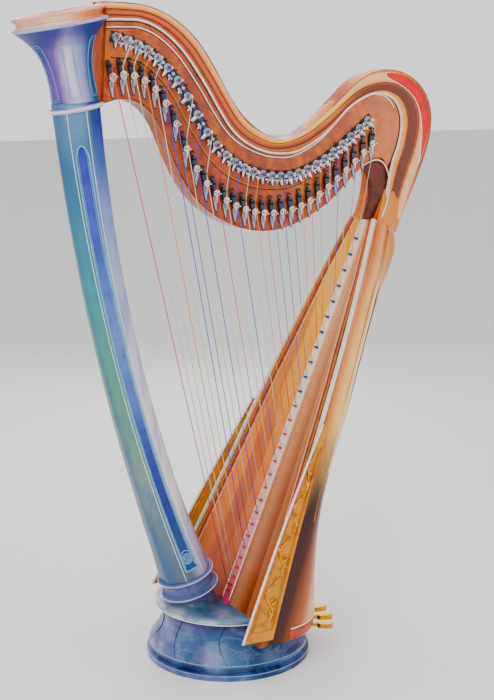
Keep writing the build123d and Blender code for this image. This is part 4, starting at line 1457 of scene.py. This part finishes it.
class HARP_OT_fork_trims(bpy.types.Operator):
    """Give each fork its cream ring, screw and long blade, and each nut its scroll"""

    bl_idname = "harp.fork_trims"
    bl_label = "Fork trims"

    def execute(self, context):
        front = Vector((0, -1, 0))
        scrolls = bmesh.new()
        for index, (pin, bend, fork, foot) in enumerate(STRINGS):
            centre = Vector((fork.x, -FORK_FACE, fork.z))
            trim = bmesh.new()
            tube(trim, circle_path(centre, front, 0.0072, 24), 0.0013, 8, closed=True)
            hub = turned([(0.0030, 0.0), (0.0030, 0.0014), (0.0020, 0.0024), (0.0, 0.0026)], centre, front, 16)
            joined(trim, hub)
            piece_from("fork_ring_%02d" % (index + 1), trim, "cream", "fork_%02d" % (index + 1))
            spine = bmesh.new()
            tail = centre + Vector((0, 0.0005, -0.0090))
            tip = centre + Vector((0, 0.0010, -0.0280))
            for side in (-1, 1):
                root = tail + Vector((side * 0.0026, 0, 0))
                middle = tail.lerp(tip, 0.6) + Vector((side * 0.0016, 0, 0))
                tube(spine, [root, middle, tip], 0.0008, 6)
            piece_from("fork_spine_%02d" % (index + 1), spine, "nickel", "fork_%02d" % (index + 1))
            up = (bend - foot).normalized()
            side = Vector((up.z, 0, -up.x))
            root = Vector((bend.x, -FACE_PLANE - 0.0045, bend.z)) + up * 0.008
            path = []
            for step in range(15):
                angle = math.radians(-90 + 290 * step / 14)
                radius = 0.0062 - 0.0026 * step / 14
                path.append(root + up * (0.0075 + radius * math.sin(angle)) - side * radius * math.cos(angle))
            tube(scrolls, [root - up * 0.004] + path, 0.0021, 8)
        piece_from("nut_scrolls", scrolls, "black")
        blades = bmesh.new()
        outlines = bmesh.new()
        for pin, bend, fork, foot in STRINGS:
            down = Vector((0.10, 0, -1)).normalized()
            top = Vector((fork.x, -FACE_PLANE - 0.0006, fork.z - 0.004))
            leaf_plate(blades, outlines, top, down, 0.046, 0.0062)
        piece_from("nut_blades", blades, "blade")
        piece_from("nut_blade_edges", outlines, "black")
        return {"FINISHED"}


class HARP_OT_soundbox(bpy.types.Operator):
    """Run the long mouldings down the soundboard and round the foot of the box, and rim its holes"""

    bl_idname = "harp.soundbox"
    bl_label = "Soundbox mouldings"

    def execute(self, context):
        # board_cove and board_line are dark lines of painted shade beside the board's edge mouldings
        runs = (
            ("board_cove", 0.0190, 0.0026, "hollow"), ("board_bead", 0.0250, 0.0044, "tan"),
            ("board_line", 0.0315, 0.0014, "shadow"), ("board_inner_bead", 0.0370, 0.0028, "band"),
            ("board_hairline", 0.0430, 0.0009, "cream"),
        )
        for name, inset, radius, finish in runs:
            line = bmesh.new()
            for side in (-1, 1):
                path = []
                for index in range(90):
                    station = 0.012 + (BODY_LENGTH - 0.016) * index / 89
                    crowding = min(1.0, 0.45 + 0.75 * between(BODY_STATIONS, station) / 0.2)
                    point = body_edge(side, station, -inset * crowding)
                    path.append(point - BODY_BACK * 0.0082)
                tube(line, path, radius, 8)
            piece_from(name, line, finish)
        strips = bmesh.new()
        for side in (-1, 1):
            path = []
            for index in range(60):
                station = 0.010 + (BODY_LENGTH - 0.02) * index / 59
                share = station / BODY_LENGTH
                width = 0.018 + share * (0.012 - 0.018)
                offset = RIB_OFFSETS[0] + share * (RIB_OFFSETS[1] - RIB_OFFSETS[0])
                point = BODY_FOOT + BODY_UP * station - BODY_BACK * 0.0142
                point.y = -offset + side * width
                path.append(point)
            tube(strips, path, 0.0018, 8)
        piece_from("rib_edges", strips, "inlay")

        low_band = bmesh.new()
        paths = {}
        for height, out in ((0.106, 0.0015), (0.132, 0.0015), (0.1345, 0.0022)):
            paths[height] = [shell_point(math.pi * index / 80, height, out) for index in range(81)]
        lows = [low_band.verts.new(point) for point in paths[0.106]]
        highs = [low_band.verts.new(point) for point in paths[0.132]]
        edges = [low_band.edges.new(pair) for pair in zip(lows, lows[1:])]
        edges += [low_band.edges.new(pair) for pair in zip(highs, highs[1:])]
        bmesh.ops.bridge_loops(low_band, edges=edges)
        bmesh.ops.solidify(low_band, geom=low_band.faces[:], thickness=0.003)
        piece_from("shell_foot_band", low_band, "band")
        cream = bmesh.new()
        tube(cream, paths[0.1345], 0.0020, 8)
        piece_from("shell_foot_line", cream, "cream")

        # the cream line at 52 degrees round the back is a painted highlight where the shell turns out of view;
        # the others are painted stripes of the mouldings
        stripes = (
            ("shell_side_line", 6, 0.0014, "tan", 0.30), ("shell_side_bead", 15, 0.0024, "cream", 0.44),
            ("shell_brown_line", 24, 0.0012, "shadow", 0.62), ("shell_edge_highlight", 52, 0.0030, "cream", 0.30),
        )
        for name, degrees, radius, finish, low in stripes:
            line = bmesh.new()
            for side in (-1, 1):
                path = []
                for index in range(80):
                    station = low + (BODY_LENGTH - 0.004 - low) * index / 79
                    half = between(BODY_STATIONS, station)
                    y = side * half * math.cos(math.radians(degrees))
                    path.append(shell_outside(y, station, 0.0002))
                tube(line, path, radius, 8)
            piece_from(name, line, finish)

        rims = bmesh.new()
        for station, width, length in SOUND_HOLES:
            path = []
            for index in range(60):
                turn = 2 * math.pi * index / 60
                y = (width / 2 + 0.003) * math.cos(turn)
                place = station + (length / 2 + 0.003) * math.sin(turn)
                path.append(shell_outside(y, place, 0.0006))
            tube(rims, path, 0.0028, 8, closed=True)
        piece_from("sound_hole_rims", rims, "tan")
        return {"FINISHED"}


class HARP_OT_plaques(bpy.types.Operator):
    """Carve the two gilt side plaques: a framed tapering field with a climbing vine"""

    bl_idname = "harp.plaques"
    bl_label = "Carved plaques"

    def execute(self, context):
        first = None
        for side, tag in ((-1, "left"), (1, "right")):
            tip = Vector((-0.106, side * 0.262, 0.126))
            corner = Vector((-0.012, side * 0.262, 0.122))
            head = body_edge(side, 0.560, 0.010) - BODY_BACK * 0.016
            head_back = body_edge(side, 0.560, 0.010) + BODY_BACK * 0.004
            normal = (corner - tip).cross(head - tip).normalized()
            if normal.y * side < 0:
                normal = -normal
            plate = bmesh.new()
            count = PLAQUE_STEPS
            lefts = []
            rights = []
            for index in range(count + 1):
                t = index / count
                bow = math.sin(math.pi * t) * 0.006
                lefts.append(tip.lerp(head, t) - Vector((bow, 0, 0)))
                rights.append(corner.lerp(head_back, t) - Vector((bow * 0.6, 0, 0)))
            rows = []
            for left, right in zip(lefts, rights):
                shares = (0.0, 0.16, 0.2, 0.84, 0.88, 1.0)
                rows.append([plate.verts.new(left.lerp(right, share)) for share in shares])
            bridged(plate, rows)
            for index, row in enumerate(rows):
                if 2 < index < count - 5:
                    for vert in row[2:4]:
                        vert.co -= normal * 0.0045
            bmesh.ops.solidify(plate, geom=plate.faces[:], thickness=0.007)
            piece = piece_from("plaque_" + tag, plate, "gold", smooth=False)
            first = first or piece

            edge = bmesh.new()
            tube(edge, [point + normal * 0.001 for point in lefts], 0.0032, 8)
            piece_from("plaque_edge_" + tag, edge, "inlay")
            inner = bmesh.new()
            lift = normal * 0.0006
            for share, thick in ((0.17, 0.0012), (0.87, 0.0016)):
                border = [left.lerp(right, share) + lift for left, right in zip(lefts, rights)]
                tube(inner, border[2:-4], thick, 6)
            tube(inner, [lefts[2].lerp(rights[2], share) + lift for share in (0.17, 0.5, 0.87)], 0.0012, 6)
            piece_from("plaque_frame_" + tag, inner, "tan")

            vine = bmesh.new()
            field = [(left.lerp(right, 0.52) - normal * 0.0035, (right - left) * 0.32)
                     for left, right in zip(lefts, rights)]
            stem = []
            for index in range(4 * (count - 8)):
                at = 3 + index / 4
                low = int(at)
                part = at - low
                centre = field[low][0].lerp(field[low + 1][0], part)
                wide = field[low][1].lerp(field[low + 1][1], part)
                stem.append(centre + wide * 0.75 * math.sin(index * 0.20) + normal * 0.0012)
            tube(vine, stem, 0.0024, 8)
            along = (head - tip).normalized()
            for index in range(6, len(stem) - 6, 8):
                at = 3 + index / 4
                wide = field[int(at)][1].length
                turn = 1 if (index // 8) % 2 else -1
                curl = []
                for step in range(14):
                    angle = turn * (0.4 + 4.3 * step / 13)
                    reach = wide * 0.55 * (1 - 0.75 * step / 13)
                    across = (rights[int(at)] - lefts[int(at)]).normalized()
                    sideways = across * (reach * math.sin(angle))
                    upwards = along * (wide * 0.5 - reach * math.cos(angle))
                    curl.append(stem[index] + sideways + upwards + normal * 0.0012)
                tube(vine, curl, 0.0017, 6)
                shape = [(0.0, 0.0), (0.0030, 0.004), (0.0036, 0.009), (0.0018, 0.015), (0.0, 0.018)]
                lean = (along + across * turn * 0.8).normalized()
                leaf = turned(shape, stem[index] + normal * 0.001, lean, 8)
                joined(vine, leaf)
            piece_from("plaque_vine_" + tag, vine, "gilt")
        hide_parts("carved_plaques")
        return {"FINISHED"}


class HARP_PT_panel(bpy.types.Panel):
    """Sidebar list of the harp's pieces"""

    bl_label = "Concert Harp"
    bl_idname = "HARP_PT_panel"
    bl_space_type = "VIEW_3D"
    bl_region_type = "UI"
    bl_category = "Harp"

    def draw(self, context):
        for name in ("bead", "inlay", "recess", "bass_string", "treble_string"):
            self.layout.prop(context.scene.harp_sizes, name)
        for name in ("floor", "light"):
            self.layout.prop(context.scene.harp_colours, name)
        for step in STEPS:
            self.layout.operator(step.bl_idname)


STEPS = (
    HARP_OT_stage, HARP_OT_frame_finishes, HARP_OT_strings, HARP_OT_column, HARP_OT_capital, HARP_OT_base,
    HARP_OT_crest, HARP_OT_shoulder, HARP_OT_tuning_row, HARP_OT_fork_trims, HARP_OT_soundbox, HARP_OT_plaques,
)
CLASSES = (HarpSizes, HarpColours, *STEPS, HARP_PT_panel)


def register():
    for item in CLASSES:
        bpy.utils.register_class(item)
    bpy.types.Scene.harp_sizes = bpy.props.PointerProperty(type=HarpSizes)
    bpy.types.Scene.harp_colours = bpy.props.PointerProperty(type=HarpColours)


def unregister():
    del bpy.types.Scene.harp_colours
    del bpy.types.Scene.harp_sizes
    for item in reversed(CLASSES):
        bpy.utils.unregister_class(item)


def main():
    register()
    for step in STEPS:
        group, name = step.bl_idname.split(".")
        getattr(getattr(bpy.ops, group), name)()


if __name__ == "__main__":
    main()
